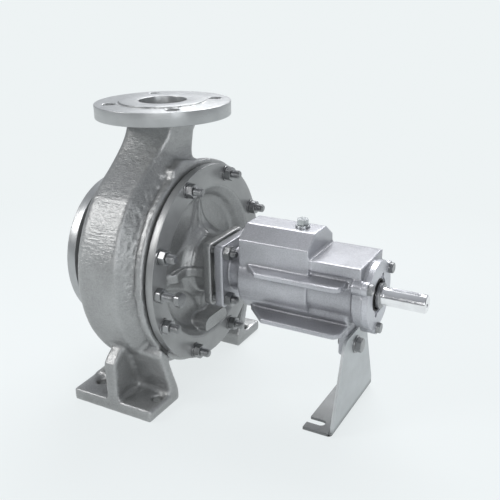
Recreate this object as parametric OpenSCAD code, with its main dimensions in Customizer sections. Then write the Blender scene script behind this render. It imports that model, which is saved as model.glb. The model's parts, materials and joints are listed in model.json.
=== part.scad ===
// End-suction pump for hot oil: volute casing on two feet, ribbed casing cover,
// finned bearing bracket, bent-sheet support foot and a shaft on two ball bearings.
// X runs along the shaft towards the drive end, Z is up, and the origin is on the
// base plane under the centre of the discharge port. All sizes are millimetres.

/* [Main sizes] */
// Height of the shaft axis above the base plane
axis_h = 180; // [176:1:200]
// Height of the discharge face above the shaft axis
discharge_h = 225; // [220:1:250]
// Distance from the discharge axis to the suction face
suction_a = 103; // [98:1:120]
// Distance from the discharge axis to the end of the shaft
shaft_reach = 380; // [378:1:395]

/* [Ports] */
// Bore of the discharge port
discharge_bore_d = 65; // [60:1:67]
// Outside diameter of the discharge flange
discharge_flange_d = 185; // [180:1:200]
// Thickness of the discharge flange with its raised face
discharge_flange_t = 20; // [17:1:24]
// Bolt circle of the discharge flange
discharge_pcd = 145; // [143:1:152]
// Number of bolt holes in the discharge flange
discharge_holes = 4; // [4:4:8]
// Diameter of the raised face round the discharge port
discharge_face_d = 118; // [100:1:122]
// Bore of the suction port
suction_bore_d = 100; // [94:1:102]
// Outside diameter of the suction flange
suction_flange_d = 220; // [215:1:230]
// Thickness of the suction flange with its raised face
suction_flange_t = 16; // [14:1:20]
// Bolt circle of the suction flange
suction_pcd = 180; // [178:1:188]
// Number of bolt holes in the suction flange
suction_holes = 8; // [4:4:8]
// Diameter of the raised face round the suction port
suction_face_d = 156; // [130:1:158]
// Diameter of the bolt holes in both flanges
flange_hole_d = 18; // [14:0.5:20]
// Height of the raised faces
raised_face_t = 2; // [1:0.5:3]

/* [Casing] */
// Outside radius of the scroll where it starts, behind the discharge neck
scroll_start_r = 142; // [140:1:145]
// Outside radius of the scroll where it runs into the discharge neck
scroll_end_r = 165; // [160:1:170]
// Inside radius of the scroll where it starts, at the tongue
tongue_r = 117; // [116:1:120]
// Wall of the scroll and the discharge neck
casing_wall = 9; // [7:0.5:10]
// Distance from the discharge axis back to the suction shoulder of the scroll
scroll_back = 41; // [39:0.5:43]
// Distance from the discharge axis forward to the sharp ridge of the scroll
scroll_front = 25.5; // [24:0.5:27]
// Half of the flow passage's width
passage_half_w = 21; // [18:0.5:22]
// Half of the discharge neck's width along the shaft
neck_half_x = 38; // [37:0.5:40]
// Half of the discharge neck's width across the shaft
neck_half_y = 36; // [35.5:0.5:38]
// Width of the joint flange outside the stud circle
joint_flange_edge = 18; // [17:1:22]
// Thickness of the casing's joint flange
joint_flange_t = 11; // [9:0.5:13]
// Distance from the discharge axis to the casing's joint face
joint_x = 54; // [53:0.5:56]
// Width of the joint face inside the stud circle
joint_face_w = 15; // [14:0.5:16]

/* [Casing feet] */
// Half of the width over both feet
feet_half_w = 154; // [151:1:162]
// Width of one foot across the shaft
foot_w = 63; // [60:1:70]
// Thickness of the foot pads
foot_t = 17; // [14:0.5:20]
// Length of the feet behind the discharge axis
foot_back = 72; // [68:1:80]
// Length of the feet in front of the discharge axis
foot_front = 62; // [60:1:66]
// Hole spacing of the feet along the shaft
foot_hole_x = 96; // [90:1:100]
// Hole spacing of the feet across the shaft
foot_hole_y = 240; // [236:1:248]
// Diameter of the holes in the feet
foot_hole_d = 15; // [12:0.5:17]
// Thickness of the upright rib on each foot
foot_rib_t = 19; // [14:0.5:24]

/* [Casing cover] */
// Width of the cover's rim outside the stud circle
cover_edge = 11.5; // [11:0.5:15]
// Thickness of the cover's rim
cover_rim_t = 11; // [9:0.5:13]
// Thickness of the gasket in the joint
gasket_t = 2; // [1:0.5:3]
// Width of the cover's rim inside the stud circle
recess_edge = 19; // [17:0.5:22]
// Depth of the recess from the front of the rim
recess_depth = 19; // [15:0.5:22]
// Outside radius of the seal hub
hub_r = 40; // [39:0.5:42]
// Thickness of the lantern's level ribs
lantern_rib_t = 13; // [10:0.5:16]
// Distance from the cover's rim to the face of the square flange
lantern_len = 28; // [27.5:0.5:34]
// Side of the square flanges
square_w = 90; // [88:1:96]
// Thickness of the cover's square flange
cover_square_t = 11.5; // [10:0.5:13]
// Gap between the two square flanges
square_gap = 6; // [4:0.5:8]
// Radius of the stud circle in the rim
stud_circle_r = 128; // [127:0.5:129]
// Number of studs in the rim
stud_count = 8; // [8:2:8]

/* [Bearing bracket] */
// Thickness of the bracket's square flange
bracket_square_t = 13; // [11:0.5:14]
// Outside radius of the neck behind the square flange
bracket_neck_r = 31; // [30:0.5:32]
// Length of the neck
bracket_neck_len = 22.5; // [22:0.5:27]
// Length of the bracket's raised box
box_len = 100.5; // [95:0.5:104]
// Height of the raised box above the axis
box_h = 75; // [70:1:80]
// Half of the raised box's width
box_half_w = 40; // [39:0.5:43]
// Half of the width of the flat on top of the box
box_flat_half_w = 17.5; // [14:0.5:21]
// Radius of the bracket's barrel under the box
barrel_r = 46; // [44:0.5:48]
// Radius of the bracket's barrel near the drive end
barrel_end_r = 41; // [40:0.5:42]
// Height of the low pad's top above the axis
pad_h = 47; // [45:0.5:50]
// Thickness of the low pad
pad_t = 14; // [10:0.5:16]
// Distance from the axis to the fins' outer edge
fin_reach = 61; // [56:0.5:68]
// Thickness of the fins
fin_t = 7; // [5:0.5:9]
// Height of the upper fins' top above the axis
upper_fin_z = 25; // [22:0.5:28]
// Depth of the lower fins' top below the axis
lower_fin_z = 38; // [36:0.5:40]
// Radius of the end boss
end_boss_r = 45; // [43:0.5:46]
// Length of the end boss
end_boss_len = 14; // [12:0.5:16]
// Distance from the discharge axis to the bracket's end face
bracket_end_x = 311; // [309:0.5:314]
// Thickness of the bearing cover
bearing_cover_t = 7; // [6:0.5:9]
// Radius of the bearing cover's screw circle
cover_screw_circle_r = 46; // [45:0.5:47]

/* [Support foot] */
// Distance from the discharge axis to the support foot's face
support_x = 290; // [288:0.5:293]
// Thickness of the support foot's sheet
support_t = 4; // [3:0.5:5]
// Half of the support foot's width at the base
support_half_w = 72; // [66:1:80]
// Half of the support foot's width at the top
support_top_half_w = 39; // [34:0.5:44]
// Depth of the support foot's base flange
support_base_depth = 43; // [38:0.5:48]
// Distance from the axis down to the support foot's bolt
support_bolt_drop = 77; // [74:0.5:80]
// Half of the spacing of the slots in the base flange
support_slot_y = 52; // [46:0.5:56]
// Width of the slots
support_slot_w = 13; // [10:0.5:14]
// Depth of the slots
support_slot_len = 24; // [18:0.5:28]

/* [Rotor] */
// Diameter of the shaft end
shaft_end_d = 24; // [22:0.5:24.5]
// Diameter of the shaft between the bearings
shaft_mid_d = 30; // [28:0.5:32]
// Diameter of the impeller's seat on the shaft
impeller_seat_d = 22; // [20:0.5:23]
// Outside radius of the impeller
impeller_r = 104; // [98:0.5:106]
// Width of the impeller's outlet
outlet_w = 14; // [10:0.5:16]
// Thickness of the impeller's shrouds
shroud_t = 4.5; // [3.5:0.25:5]
// Number of impeller vanes
vane_count = 6; // [5:1:8]
// Thickness of the vanes
vane_t = 5; // [4:0.25:6]
// Inside radius of the impeller's eye
eye_r = 42; // [40:0.5:42.5]
// Length of the key seat in the shaft end
key_seat_len = 44; // [35:1:46]
// Width of the key seat in the shaft end
key_seat_w = 8; // [6:0.5:9]
// Outside radius of the shaft sleeve
sleeve_r = 15; // [14.5:0.25:15.5]

/* [Ball bearings] */
// Bore of the ball bearings
bearing_bore_d = 25; // [25:0.1:25.6]
// Outside diameter of the ball bearings
bearing_d = 62; // [61:0.5:64]
// Width of the ball bearings
bearing_w = 17; // [16:0.5:18]
// Diameter of the balls
ball_d = 11.5; // [10.5:0.25:12]
// Number of balls in each bearing
ball_count = 7; // [6:1:8]

/* [Fasteners] */
// Diameter of the cover studs, the bracket studs, the forcing screws and the foot bolt
stud_d = 12; // [10:0.5:12.5]
// Width across the flats of their nuts and heads
stud_nut_af = 18; // [17:0.5:19]
// Height of their nuts
stud_nut_h = 9.5; // [8:0.5:11]
// Length of the cover studs beyond their nuts
stud_tail = 12; // [8:1:15]
// Diameter of the bearing cover's screws
small_screw_d = 8; // [6:0.5:8]
// Width across the flats of their heads
small_screw_af = 13; // [11:0.5:14]

/* [Hidden] */
$fn = 64;

// Clearance of a fixed fit, of a screw in its thread and of a part that turns, each on the radius
fit = 0.03;
thread_fit = 0.05;
run_fit = 0.08;
// A cut runs this far past the face that it leaves
over = 1;
foot_pad_in = feet_half_w - foot_w;
joint_flange_r = stud_circle_r + joint_flange_edge;
spigot_r = stud_circle_r - joint_face_w;
cover_r = stud_circle_r + cover_edge;
recess_r = stud_circle_r - recess_edge;
stud_r = stud_d / 2;
bolt_hole_r = stud_r + 1;
washer_t = 2.5;
washer_r = stud_nut_af / 2 + 3;

// Places along the shaft, from the suction side to the drive end
passage_x = -2;
eye_x = -46;
wear_ring_w = 12;
wear_ring_t = 7.5;
wear_gap = 0.3;
eye_land_r = eye_r + 6;
casing_ring_r = eye_land_r + wear_gap + wear_ring_t;
back_shroud_x = passage_x + outlet_w / 2 + shroud_t;
front_shroud_x = passage_x - outlet_w / 2 - shroud_t;
cover_wet_x = back_shroud_x + 4.5;
back_land_r = eye_land_r + 2;
cover_ring_r = back_land_r + wear_gap + wear_ring_t;
impeller_hub_r = impeller_seat_d / 2 + 9;
impeller_hub_back = 24;
impeller_hub_front = -26;
cover_back_x = joint_x + gasket_t;
cover_face_x = cover_back_x + cover_rim_t;
recess_x = cover_face_x - recess_depth;
cover_square_x = cover_face_x + lantern_len;
bracket_face_x = cover_square_x + square_gap;
bracket_square_back = bracket_face_x + bracket_square_t;
box_x = bracket_square_back + bracket_neck_len;
box_end_x = box_x + box_len;
pump_bearing_x = box_x + 7;
circlip_t = 1.8;
drive_bearing_x = bracket_end_x - 3 - bearing_w;
bearing_cover_x = bracket_end_x + bearing_cover_t;

// The seal chamber and its parts
bush_x = 30;
bush_len = 26;
bush_r = sleeve_r + 5;
chamber_r = sleeve_r + 11;
seal_ring_x = cover_square_x - 20;
seal_seat_x = seal_ring_x + 6;
seal_cover_x = seal_seat_x + 3;
seal_cover_r = chamber_r + 6.5;
seal_cover_end = bracket_face_x + 2;
sleeve_end_x = seal_cover_end + 6;
shoulder_r = bearing_bore_d / 2 - 0.3;

// Ball bearing
bearing_r = bearing_d / 2;
bore_r = bearing_bore_d / 2;
ball_r = ball_d / 2;
pitch_r = (bearing_r + bore_r) / 2;
inner_ring_r = pitch_r - ball_r * 0.5;
outer_ring_in_r = pitch_r + ball_r * 0.5;
oil_seal_r = shoulder_r + 9;
oil_seal_w = 6;

// Casing cover
square_corner_r = 7;
bracket_stud_xy = square_w / 2 - 11;

function mix(a, b, w) = a + (b - a) * w;
function polar(r, t) = [-r * cos(t), r * sin(t)];
function unit(v) = v / norm(v);
// Points of an arc round [a, b], from one angle to another
function arc(a, b, r, from, to, n = 6) = [for (i = [0 : n])
    let (t = mix(from, to, i / n)) [a + r * cos(t), b + r * sin(t)]];
function bezier(a, b, c, d, s) = a * pow(1 - s, 3) + b * 3 * s * pow(1 - s, 2)
    + c * 3 * s * s * (1 - s) + d * pow(s, 3);

// Puts a shape that is drawn along Z onto the shaft axis, starting at x
module on_axis(x) {
    translate([x, 0, axis_h]) rotate([0, 90, 0]) children();
}

// Disc or tube round the shaft axis from x0 to x1
module tube(x0, x1, r, bore = 0) {
    on_axis(x0) difference() {
        cylinder(h = x1 - x0, r = r);
        if (bore > 0) translate([0, 0, -over]) cylinder(h = x1 - x0 + 2 * over, r = bore);
    }
}

// Body of revolution round the shaft axis, from points of [radius, x]
module turned(points) {
    on_axis(0) rotate_extrude() polygon(points);
}

// Copies a child that lies at the axis onto a circle, the angle counted from straight up
module on_circle(count, r, start = 0) {
    for (k = [0 : count - 1]) translate([0, 0, axis_h]) rotate([start + 360 / count * k, 0, 0])
        translate([0, 0, r - axis_h]) children();
}

// Slab with an outline of [y, z] points, z counted from the shaft axis
module slab(x0, x1, points) {
    translate([x0, 0, axis_h]) rotate([90, 0, 90]) linear_extrude(x1 - x0) polygon(points);
}

// Hexagonal prism on the axis
module hex(x0, x1, af) {
    on_axis(x0) cylinder(h = x1 - x0, r = af / sqrt(3), $fn = 6);
}

// Hexagon head with the chamfer that turns its corners off
module hex_head(x0, x1, af, flip = false) {
    corner = af / sqrt(3);
    cut = corner - af / 2 + 0.2;
    intersection() {
        hex(x0, x1, af);
        turned(flip ? [[0, x0], [corner - cut, x0], [corner, x0 + cut * 0.6], [corner, x1], [0, x1]]
            : [[0, x0], [corner, x0], [corner, x1 - cut * 0.6], [corner - cut, x1], [0, x1]]);
    }
}

// Square plate with round corners round the shaft axis
module square_plate(x0, x1) {
    half = square_w / 2;
    inner = half - square_corner_r;
    translate([x0, 0, axis_h]) rotate([90, 0, 90]) linear_extrude(x1 - x0) {
        square([2 * inner, square_w], center = true);
        square([square_w, 2 * inner], center = true);
        for (sy = [-1, 1]) for (sz = [-1, 1]) translate([sy * inner, sz * inner])
            circle(r = square_corner_r);
    }
}

// One child at each corner stud of the square flanges
module at_bracket_studs() {
    for (sy = [-1, 1]) for (sz = [-1, 1])
        translate([0, sy * bracket_stud_xy, sz * bracket_stud_xy]) children();
}

// Outline of the scroll with its discharge neck, as [y, z] points from the shaft axis.
// The spiral starts at scroll_from, beside the neck, turns down the far side, passes
// under the shaft and comes up the near side to scroll_to. There the near side sweeps up
// into the neck, whose far side leans back from far_top down to the tongue.
scroll_from = 100;
scroll_to = 405;
scroll_steps = 120;
near_steps = 16;
far_steps = 8;
top_steps = 6;
neck_top = discharge_h - discharge_flange_t + 3;
function scroll_outline(end_r, start_r, half_y, top, far_top, from) = let (
        near = polar(end_r, scroll_to),
        far = polar(start_r, from))
    concat([for (i = [0 : scroll_steps]) let (s = i / scroll_steps)
            polar(mix(start_r, end_r, s), mix(from, scroll_to, s))],
        [for (i = [1 : near_steps]) bezier(near, near + end_r * [0.22, 0.19], [-half_y, top * 0.83],
            [-half_y, top - 8], i / near_steps)],
        [for (i = [0 : top_steps]) [mix(-half_y, half_y, i / top_steps), top]],
        [for (i = [0 : far_steps - 1]) bezier([half_y, far_top], [half_y - 11, far_top - 21], far + [-9, 12], far,
            i / far_steps)]);

// Skin of the casing: the outline is carried along X through stations, drawn in at the
// shoulders. A station holds the scroll's x and inset, then the neck's x and its insets on
// the near and on the far side, and the height that the neck is folded down to, or 0.
function casing_stations() = [
    [-scroll_back - 11, 33, -neck_half_x - 3, 12, 19, 150],
    [-scroll_back - 8, 24, -neck_half_x - 2, 9, 16, 0],
    [-scroll_back - 2, 10.5, -neck_half_x - 1, 4.5, 9, 0],
    [-scroll_back + 3.5, 3, -neck_half_x + 1.5, 1.5, 4, 0],
    [-scroll_back + 10, 0, -neck_half_x + 6, 0, 1, 0],
    [scroll_front - 12, 0, neck_half_x - 20, 0, 0, 0],
    [scroll_front - 6, 0, neck_half_x - 10, 0, 2.7, 0],
    [scroll_front - 3, 0, neck_half_x - 3, 0, 9.5, 0],
    [scroll_front - 1.2, 0.8, neck_half_x - 1, 1, 14, 0],
    [scroll_front, 3, neck_half_x, 3.5, 19, 0],
    [scroll_front + 10.5, 17, neck_half_x - 2.5, 8, 22, 158]];
fold_ratio = 0.2;
function neckness(p) = p[1] > 0 ? min(1, max(0, (norm(p) - scroll_end_r - 2) / 26)) : 0;
function skin_point(p, n, st) = let (
        w = neckness(p),
        d = mix(st[1], p[0] > 0 ? st[4] : st[3], w),
        q = p[1] > neck_top - 0.1 ? [p[0] * (1 - d / neck_half_y), p[1]] : p - n * d,
        z = st[5] > 0 && q[1] > st[5] ? st[5] + (q[1] - st[5]) * fold_ratio : q[1])
    [mix(st[0], st[2], w), q[0], z];
// Point i of the round edge that closes the skin at one of its two ends
function end_point(i, n, x, r) = let (
        rest = (i - scroll_steps) / (n - scroll_steps),
        p = polar(r, rest <= 0 ? mix(scroll_from, scroll_to, i / scroll_steps)
            : mix(scroll_to, scroll_from + 360, rest)))
    [x, p[0], p[1]];

module casing_skin() {
    outline = scroll_outline(scroll_end_r, scroll_start_r, neck_half_y, neck_top, neck_top - 22, scroll_from);
    n = len(outline);
    normals = [for (i = [0 : n - 1]) let (d = unit(outline[(i + 1) % n] - outline[(i + n - 1) % n]))
        [-d[1], d[0]]];
    suction_end = [for (i = [0 : n - 1]) end_point(i, n, -scroll_back - 20, 74)];
    drive_end = [for (i = [0 : n - 1]) end_point(i, n, joint_x - joint_flange_t + 1, stud_circle_r + 6)];
    skin = [for (st = casing_stations()) for (i = [0 : n - 1]) skin_point(outline[i], normals[i], st)];
    points = concat(suction_end, skin, drive_end);
    m = len(points) / n;
    sides = [for (k = [0 : m - 2]) for (i = [0 : n - 1]) let (j = (i + 1) % n)
        each [[k * n + i, k * n + j, (k + 1) * n + j], [k * n + i, (k + 1) * n + j, (k + 1) * n + i]]];
    translate([0, 0, axis_h]) polyhedron(points = points,
        faces = concat([[for (i = [n - 1 : -1 : 0]) i]], sides, [[for (i = [0 : n - 1]) (m - 1) * n + i]]));
}

// Pad, upright rib and leaning leg of the foot on the near side
module casing_foot() {
    out = -feet_half_w;
    inn = -foot_pad_in;
    base = -axis_h;
    pad_top = base + foot_t;
    corner_r = 11;
    leg_out = inn - 13;
    difference() {
        union() {
            slab(-foot_back, foot_front, [[out, base], [inn, base], [inn, pad_top + 4], [inn - 8, pad_top + 1],
                [out, pad_top]]);
            slab(-foot_rib_t * 0.68, foot_rib_t * 0.36, [[out, base], [inn, base], [inn - 8, -88],
                [out + 26, -84], [out + 8, -98], [out, -106]]);
            difference() {
                slab(-foot_back, foot_front, concat([[inn + 5, base], [leg_out - 12, base]],
                    arc(leg_out - 12, pad_top + corner_r, corner_r, 270, 342),
                    [[inn - 33, -95], [inn - 22, -80], [inn, -80], [inn - 12, -113], [inn + 5, pad_top + 2]]));
                // The leg narrows towards the suction side as it rises
                translate([-foot_back, out, axis_h + pad_top]) rotate([0, 46, 0])
                    translate([-80, 0, 0]) cube([80, feet_half_w, 140]);
            }
        }
        for (sx = [-1, 1]) translate([sx * foot_hole_x / 2, -foot_hole_y / 2, -over])
            cylinder(h = foot_t + 2 * over, d = foot_hole_d);
        // Spot face round each hole, clear of the round corner
        for (sx = [-1, 1]) translate([sx * foot_hole_x / 2, -foot_hole_y / 2, foot_t])
            cylinder(h = 20, d = 2 * foot_hole_d - 2);
    }
}

// Flow passage: spiral, discharge throat and the blend to the round port
module passage() {
    in_y = discharge_bore_d / 2 - 6;
    in_top = neck_top - 32;
    blend = 21;
    outline = scroll_outline(scroll_end_r - casing_wall, tongue_r, in_y, in_top, in_top - 2, scroll_from - 5);
    slab(passage_x - passage_half_w, passage_x + passage_half_w, outline);
    hull() {
        translate([passage_x - passage_half_w, -in_y, axis_h + in_top - over])
            cube([2 * passage_half_w, 2 * in_y, over]);
        translate([0, 0, axis_h + in_top + blend]) cylinder(h = 0.1, d = discharge_bore_d, $fn = 32);
    }
    translate([0, 0, axis_h + in_top + blend]) cylinder(h = 200, d = discharge_bore_d);
}

module volute_casing() {
    port_r = suction_bore_d / 2;
    nozzle_r = port_r + 13;
    suction_back = -suction_a + suction_flange_t;
    flange_z = axis_h + discharge_h - discharge_flange_t;
    color("slategray") difference() {
        union() {
            casing_skin();
            turned([[0, suction_back - over], [nozzle_r, suction_back - over], [nozzle_r, -scroll_back - 29],
                [73, -scroll_back - 20 + over], [0, -scroll_back - 20 + over]]);
            tube(-suction_a, suction_back, suction_face_d / 2);
            tube(-suction_a + raised_face_t, suction_back, suction_flange_d / 2);
            tube(joint_x - joint_flange_t, joint_x, joint_flange_r);
            // Cast lump between the neck and the joint flange, over the two top studs
            slab(joint_x - 22, joint_x - over, [[-59, 118], [-60, 134], [-55, 145], [-46, 148], [-37, 154.5],
                [-24, 152], [-8, 147.5], [6, 146.5], [19, 142], [26, 132], [20, 118]]);
            translate([0, 0, flange_z])
                cylinder(h = discharge_flange_t - raised_face_t, d = discharge_flange_d);
            translate([0, 0, flange_z]) cylinder(h = discharge_flange_t, d = discharge_face_d);
            casing_foot();
            mirror([0, 1, 0]) casing_foot();
        }
        passage();
        // Room for the cover's rim beside the legs
        tube(joint_x, foot_front + over, joint_flange_r);
        turned([[0, -suction_a - over], [port_r, -suction_a - over], [port_r, eye_x + 2],
            [casing_ring_r, eye_x + 2], [casing_ring_r, eye_x + 2 + wear_ring_w],
            [82, front_shroud_x - 9], [spigot_r, front_shroud_x - 5.5],
            [spigot_r, joint_x + over], [0, joint_x + over]]);
        for (k = [0 : discharge_holes - 1]) rotate([0, 0, 45 + 360 / discharge_holes * k])
            translate([discharge_pcd / 2, 0, flange_z - over])
                cylinder(h = discharge_flange_t + 2 * over, d = flange_hole_d);
        on_circle(suction_holes, suction_pcd / 2, 180 / suction_holes)
            tube(-suction_a - over, suction_back + over, flange_hole_d / 2);
        on_circle(stud_count, stud_circle_r, 180 / stud_count)
            tube(joint_x - joint_flange_t - 2, joint_x + over, stud_r + thread_fit);
    }
}

module casing_wear_ring() {
    color("darkkhaki") tube(eye_x + 2, eye_x + 2 + wear_ring_w, casing_ring_r - fit, eye_land_r + wear_gap);
}

// Low star on the recess's floor that ties hub and ribs together, with hollow sides.
// Its upright arms are slim and its level arms broad.
module lantern_star() {
    reach = recess_r - 2;
    quarter = [[0, 0], [0, reach], [5.5, reach], [6.5, 86], [10.5, 70], [18, 56], [29, 44], [44, 32], [61, 23],
        [80, 16], [reach, 14], [reach, 0]];
    translate([recess_x - over, 0, axis_h]) rotate([90, 0, 90]) linear_extrude(cover_square_x - recess_x)
        for (my = [0, 1]) for (mz = [0, 1]) mirror([my, 0]) mirror([0, mz]) polygon(quarter);
}

// One level rib and one upright rib. Each edge is a curve from the rim down to the floor
// and up along the hub to the square flange.
module lantern_ribs() {
    half = lantern_rib_t / 2;
    end = cover_square_x - 2;
    translate([0, 0, axis_h - half]) linear_extrude(lantern_rib_t) polygon([[recess_x - over, 0],
        [recess_x - over, -86], [recess_x + 2, -86], [recess_x + 13, -73], [recess_x + 10.5, -60],
        [recess_x + 11, -52], [recess_x + 15, -46], [recess_x + 24, -43], [end, -42], [end, 0]]);
    translate([0, 3, axis_h]) rotate([90, 0, 0]) linear_extrude(6) polygon([[recess_x - over, 0],
        [recess_x - over, recess_r], [recess_x + 15, recess_r], [recess_x + 9, 100], [recess_x + 5, 88],
        [recess_x + 3.5, 70], [recess_x + 4.5, 58], [recess_x + 9, 49], [recess_x + 18, 43.5], [end, 42], [end, 0]]);
}

module casing_cover() {
    drain_half_w = 26;
    color("gray") difference() {
        union() {
            // Rim, dished wall and spigot, turned in one
            turned([[0, cover_wet_x], [spigot_r - 0.1, cover_wet_x], [spigot_r - 0.1, cover_back_x],
                [cover_r, cover_back_x], [cover_r, cover_face_x - 1], [cover_r - 1, cover_face_x],
                [recess_r, cover_face_x], [recess_r - 9, cover_face_x - 8], [recess_r - 14, recess_x + 3],
                [recess_r - 20, recess_x], [0, recess_x]]);
            // Hub that flares out like a trumpet onto the floor
            turned([[0, recess_x - over], [58, recess_x - over], [57, recess_x + 0.5], [50, recess_x + 2.5],
                [45.5, recess_x + 6], [42.5, recess_x + 11], [hub_r, recess_x + 18], [hub_r, cover_square_x - 2],
                [0, cover_square_x - 2]]);
            intersection() {
                lantern_star();
                turned([[0, recess_x - over], [recess_r, recess_x - over], [recess_r, recess_x + 2.5],
                    [60, recess_x + 2.5], [53, recess_x + 4], [48, recess_x + 8], [44, recess_x + 14],
                    [0, recess_x + 14]]);
            }
            lantern_ribs();
            translate([0, 0, axis_h]) rotate([180, 0, 0]) translate([0, 0, -axis_h]) lantern_ribs();
            square_plate(cover_square_x - cover_square_t, cover_square_x);
            // Boss of the leakage outlet under the hub
            slab(recess_x, cover_face_x + 17, [[-drain_half_w - 4, -93], [-drain_half_w, -98], [drain_half_w, -98],
                [drain_half_w + 4, -93], [drain_half_w + 2, -84], [drain_half_w - 6, -79], [-drain_half_w + 6, -79],
                [-drain_half_w - 2, -84]]);
        }
        turned([[0, cover_wet_x - over], [cover_ring_r, cover_wet_x - over],
            [cover_ring_r, cover_wet_x + wear_ring_w],
            [sleeve_r + 2, cover_wet_x + wear_ring_w], [sleeve_r + 2, bush_x], [bush_r, bush_x],
            [bush_r, bush_x + bush_len + 2], [chamber_r, bush_x + bush_len + 4], [chamber_r, seal_cover_x],
            [seal_cover_r, seal_cover_x], [seal_cover_r, cover_square_x + over], [0, cover_square_x + over]]);
        on_circle(stud_count, stud_circle_r, 180 / stud_count)
            tube(cover_back_x - over, cover_face_x + over, bolt_hole_r);
        on_circle(2, stud_circle_r, 90)
            tube(cover_back_x - over, cover_face_x + over, stud_r + thread_fit);
        at_bracket_studs() tube(cover_square_x - cover_square_t - over, cover_square_x + over, stud_r + thread_fit);
    }
}

module cover_wear_ring() {
    color("darkkhaki")
        tube(cover_wet_x, cover_wet_x + wear_ring_w - 1, cover_ring_r - fit, back_land_r + wear_gap);
}

module cover_gasket() {
    color("dimgray") tube(joint_x, cover_back_x, stud_circle_r - stud_r - 2, spigot_r + 0.5);
}

module throttle_bush() {
    color("black") tube(bush_x, bush_x + bush_len, bush_r - fit, sleeve_r + run_fit);
}

module cover_studs() {
    start = joint_x - joint_flange_t;
    end = cover_face_x + washer_t + stud_nut_h + stud_tail;
    color("silver") on_circle(stud_count, stud_circle_r, 180 / stud_count)
        turned([[0, start], [stud_r, start], [stud_r, end - 1.2], [stud_r - 1.2, end], [0, end]]);
}

module cover_nuts() {
    x = cover_face_x + washer_t;
    color("silver") on_circle(stud_count, stud_circle_r, 180 / stud_count) difference() {
        hex_head(x, x + stud_nut_h, stud_nut_af);
        tube(x - over, x + stud_nut_h + over, stud_r + thread_fit);
    }
}

module cover_washers() {
    color("silver") on_circle(stud_count, stud_circle_r, 180 / stud_count)
        tube(cover_face_x, cover_face_x + washer_t, min(washer_r, cover_r - stud_circle_r - 0.5), bolt_hole_r - 0.5);
}

forcing_head_x = cover_face_x + 30;

module forcing_screws() {
    color("silver") on_circle(2, stud_circle_r, 90) {
        turned([[0, joint_x + 0.2], [stud_r - 1, joint_x + 0.2], [stud_r, joint_x + 1.2],
            [stud_r, forcing_head_x + over], [0, forcing_head_x + over]]);
        hex_head(forcing_head_x, forcing_head_x + 8, stud_nut_af);
    }
}

module forcing_screw_nuts() {
    color("silver") on_circle(2, stud_circle_r, 90) difference() {
        hex_head(cover_face_x, cover_face_x + stud_nut_h, stud_nut_af);
        tube(cover_face_x - over, cover_face_x + stud_nut_h + over, stud_r + thread_fit);
    }
}

// Centre line of a vane: its wrap grows with the radius, so that it leans backwards
vane_root_r = 30;
vane_wrap = 105;
vane_steps = 12;
function vane_point(s, side) = let (
        r = mix(vane_root_r, impeller_r - 0.5, s),
        a = vane_wrap * pow(s, 0.8) + side * vane_t / 2 / r * 57.3)
    [r * cos(a), r * sin(a)];

module vane() {
    polygon(concat([for (i = [0 : vane_steps]) vane_point(i / vane_steps, -1)],
        [for (i = [vane_steps : -1 : 0]) vane_point(i / vane_steps, 1)]));
}

// Inside of the impeller's channel between the shrouds, as [radius, x]: the front wall
// sweeps from the eye to the outlet, the back wall from the hub to the outlet
front_wall = [[eye_r, -30], [46, -22], [54, -16], [72, -12], [impeller_r, front_shroud_x + shroud_t]];
back_wall = [[impeller_r, back_shroud_x - shroud_t], [60, 5], [44, 3], [32, -4], [24, -16], [20, -26]];

module impeller() {
    land_end = cover_wet_x + wear_ring_w - 2;
    color("burlywood") difference() {
        union() {
            // Front shroud with the eye's running land
            turned([[eye_r, eye_x + 2.5], [eye_land_r, eye_x + 2.5], [eye_land_r, -26], [57, -21],
                [72, front_shroud_x - 3], [impeller_r, front_shroud_x], each [for (i = [4 : -1 : 0]) front_wall[i]]]);
            // Back shroud with the hub and the rear running land
            turned([[0, impeller_hub_front], each [for (i = [5 : -1 : 0]) back_wall[i]],
                [impeller_r, back_shroud_x], [back_land_r, back_shroud_x], [back_land_r, land_end],
                [back_land_r - 5, land_end], [back_land_r - 5, back_shroud_x], [impeller_hub_r + 4, back_shroud_x],
                [impeller_hub_r, back_shroud_x + 5], [impeller_hub_r, impeller_hub_back], [0, impeller_hub_back]]);
            intersection() {
                on_axis(-32) linear_extrude(48) for (k = [0 : vane_count - 1]) rotate(360 / vane_count * k) vane();
                turned([[20, -28], each front_wall, each back_wall]);
            }
        }
        tube(impeller_hub_front - over, impeller_hub_back + over, impeller_seat_d / 2 + fit);
        on_circle(vane_count, 36, 30) tube(-8, back_shroud_x + over, 3.5);
        translate([impeller_hub_front - over, -impeller_key_w / 2 - 0.1, axis_h])
            cube([80, impeller_key_w + 0.2, impeller_seat_d / 2 + 3.4]);
    }
}

impeller_key_w = 6;
impeller_key_x = -18;
impeller_key_len = 36;

module impeller_key() {
    color("silver") translate([impeller_key_x, -impeller_key_w / 2, axis_h + impeller_seat_d / 2 - 3.4])
        cube([impeller_key_len, impeller_key_w, 6.5]);
}

impeller_washer_t = 2.5;
impeller_thread_r = impeller_seat_d / 2 - 3;
impeller_nut_end = impeller_hub_front - impeller_washer_t - 13;

module impeller_washer() {
    color("silver") tube(impeller_hub_front - impeller_washer_t, impeller_hub_front,
        impeller_hub_r - 3, impeller_thread_r + thread_fit);
}

// Nut with a rounded nose that leads the flow into the eye
module impeller_nut() {
    x1 = impeller_hub_front - impeller_washer_t;
    af = 2 * impeller_thread_r + 8;
    color("silver") difference() {
        union() {
            hex(x1 - 8, x1, af);
            turned([[0, impeller_nut_end], [5, impeller_nut_end + 1], [af / 2 - 2, x1 - 9], [af / 2, x1 - 7],
                [0, x1 - 7]]);
        }
        tube(impeller_nut_end + 3, x1 + over, impeller_thread_r + thread_fit);
    }
}

// Groove for a circlip that starts at x
module circlip_groove(x, r) {
    tube(x, x + circlip_t, r + over, r - 1.2);
}

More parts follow.
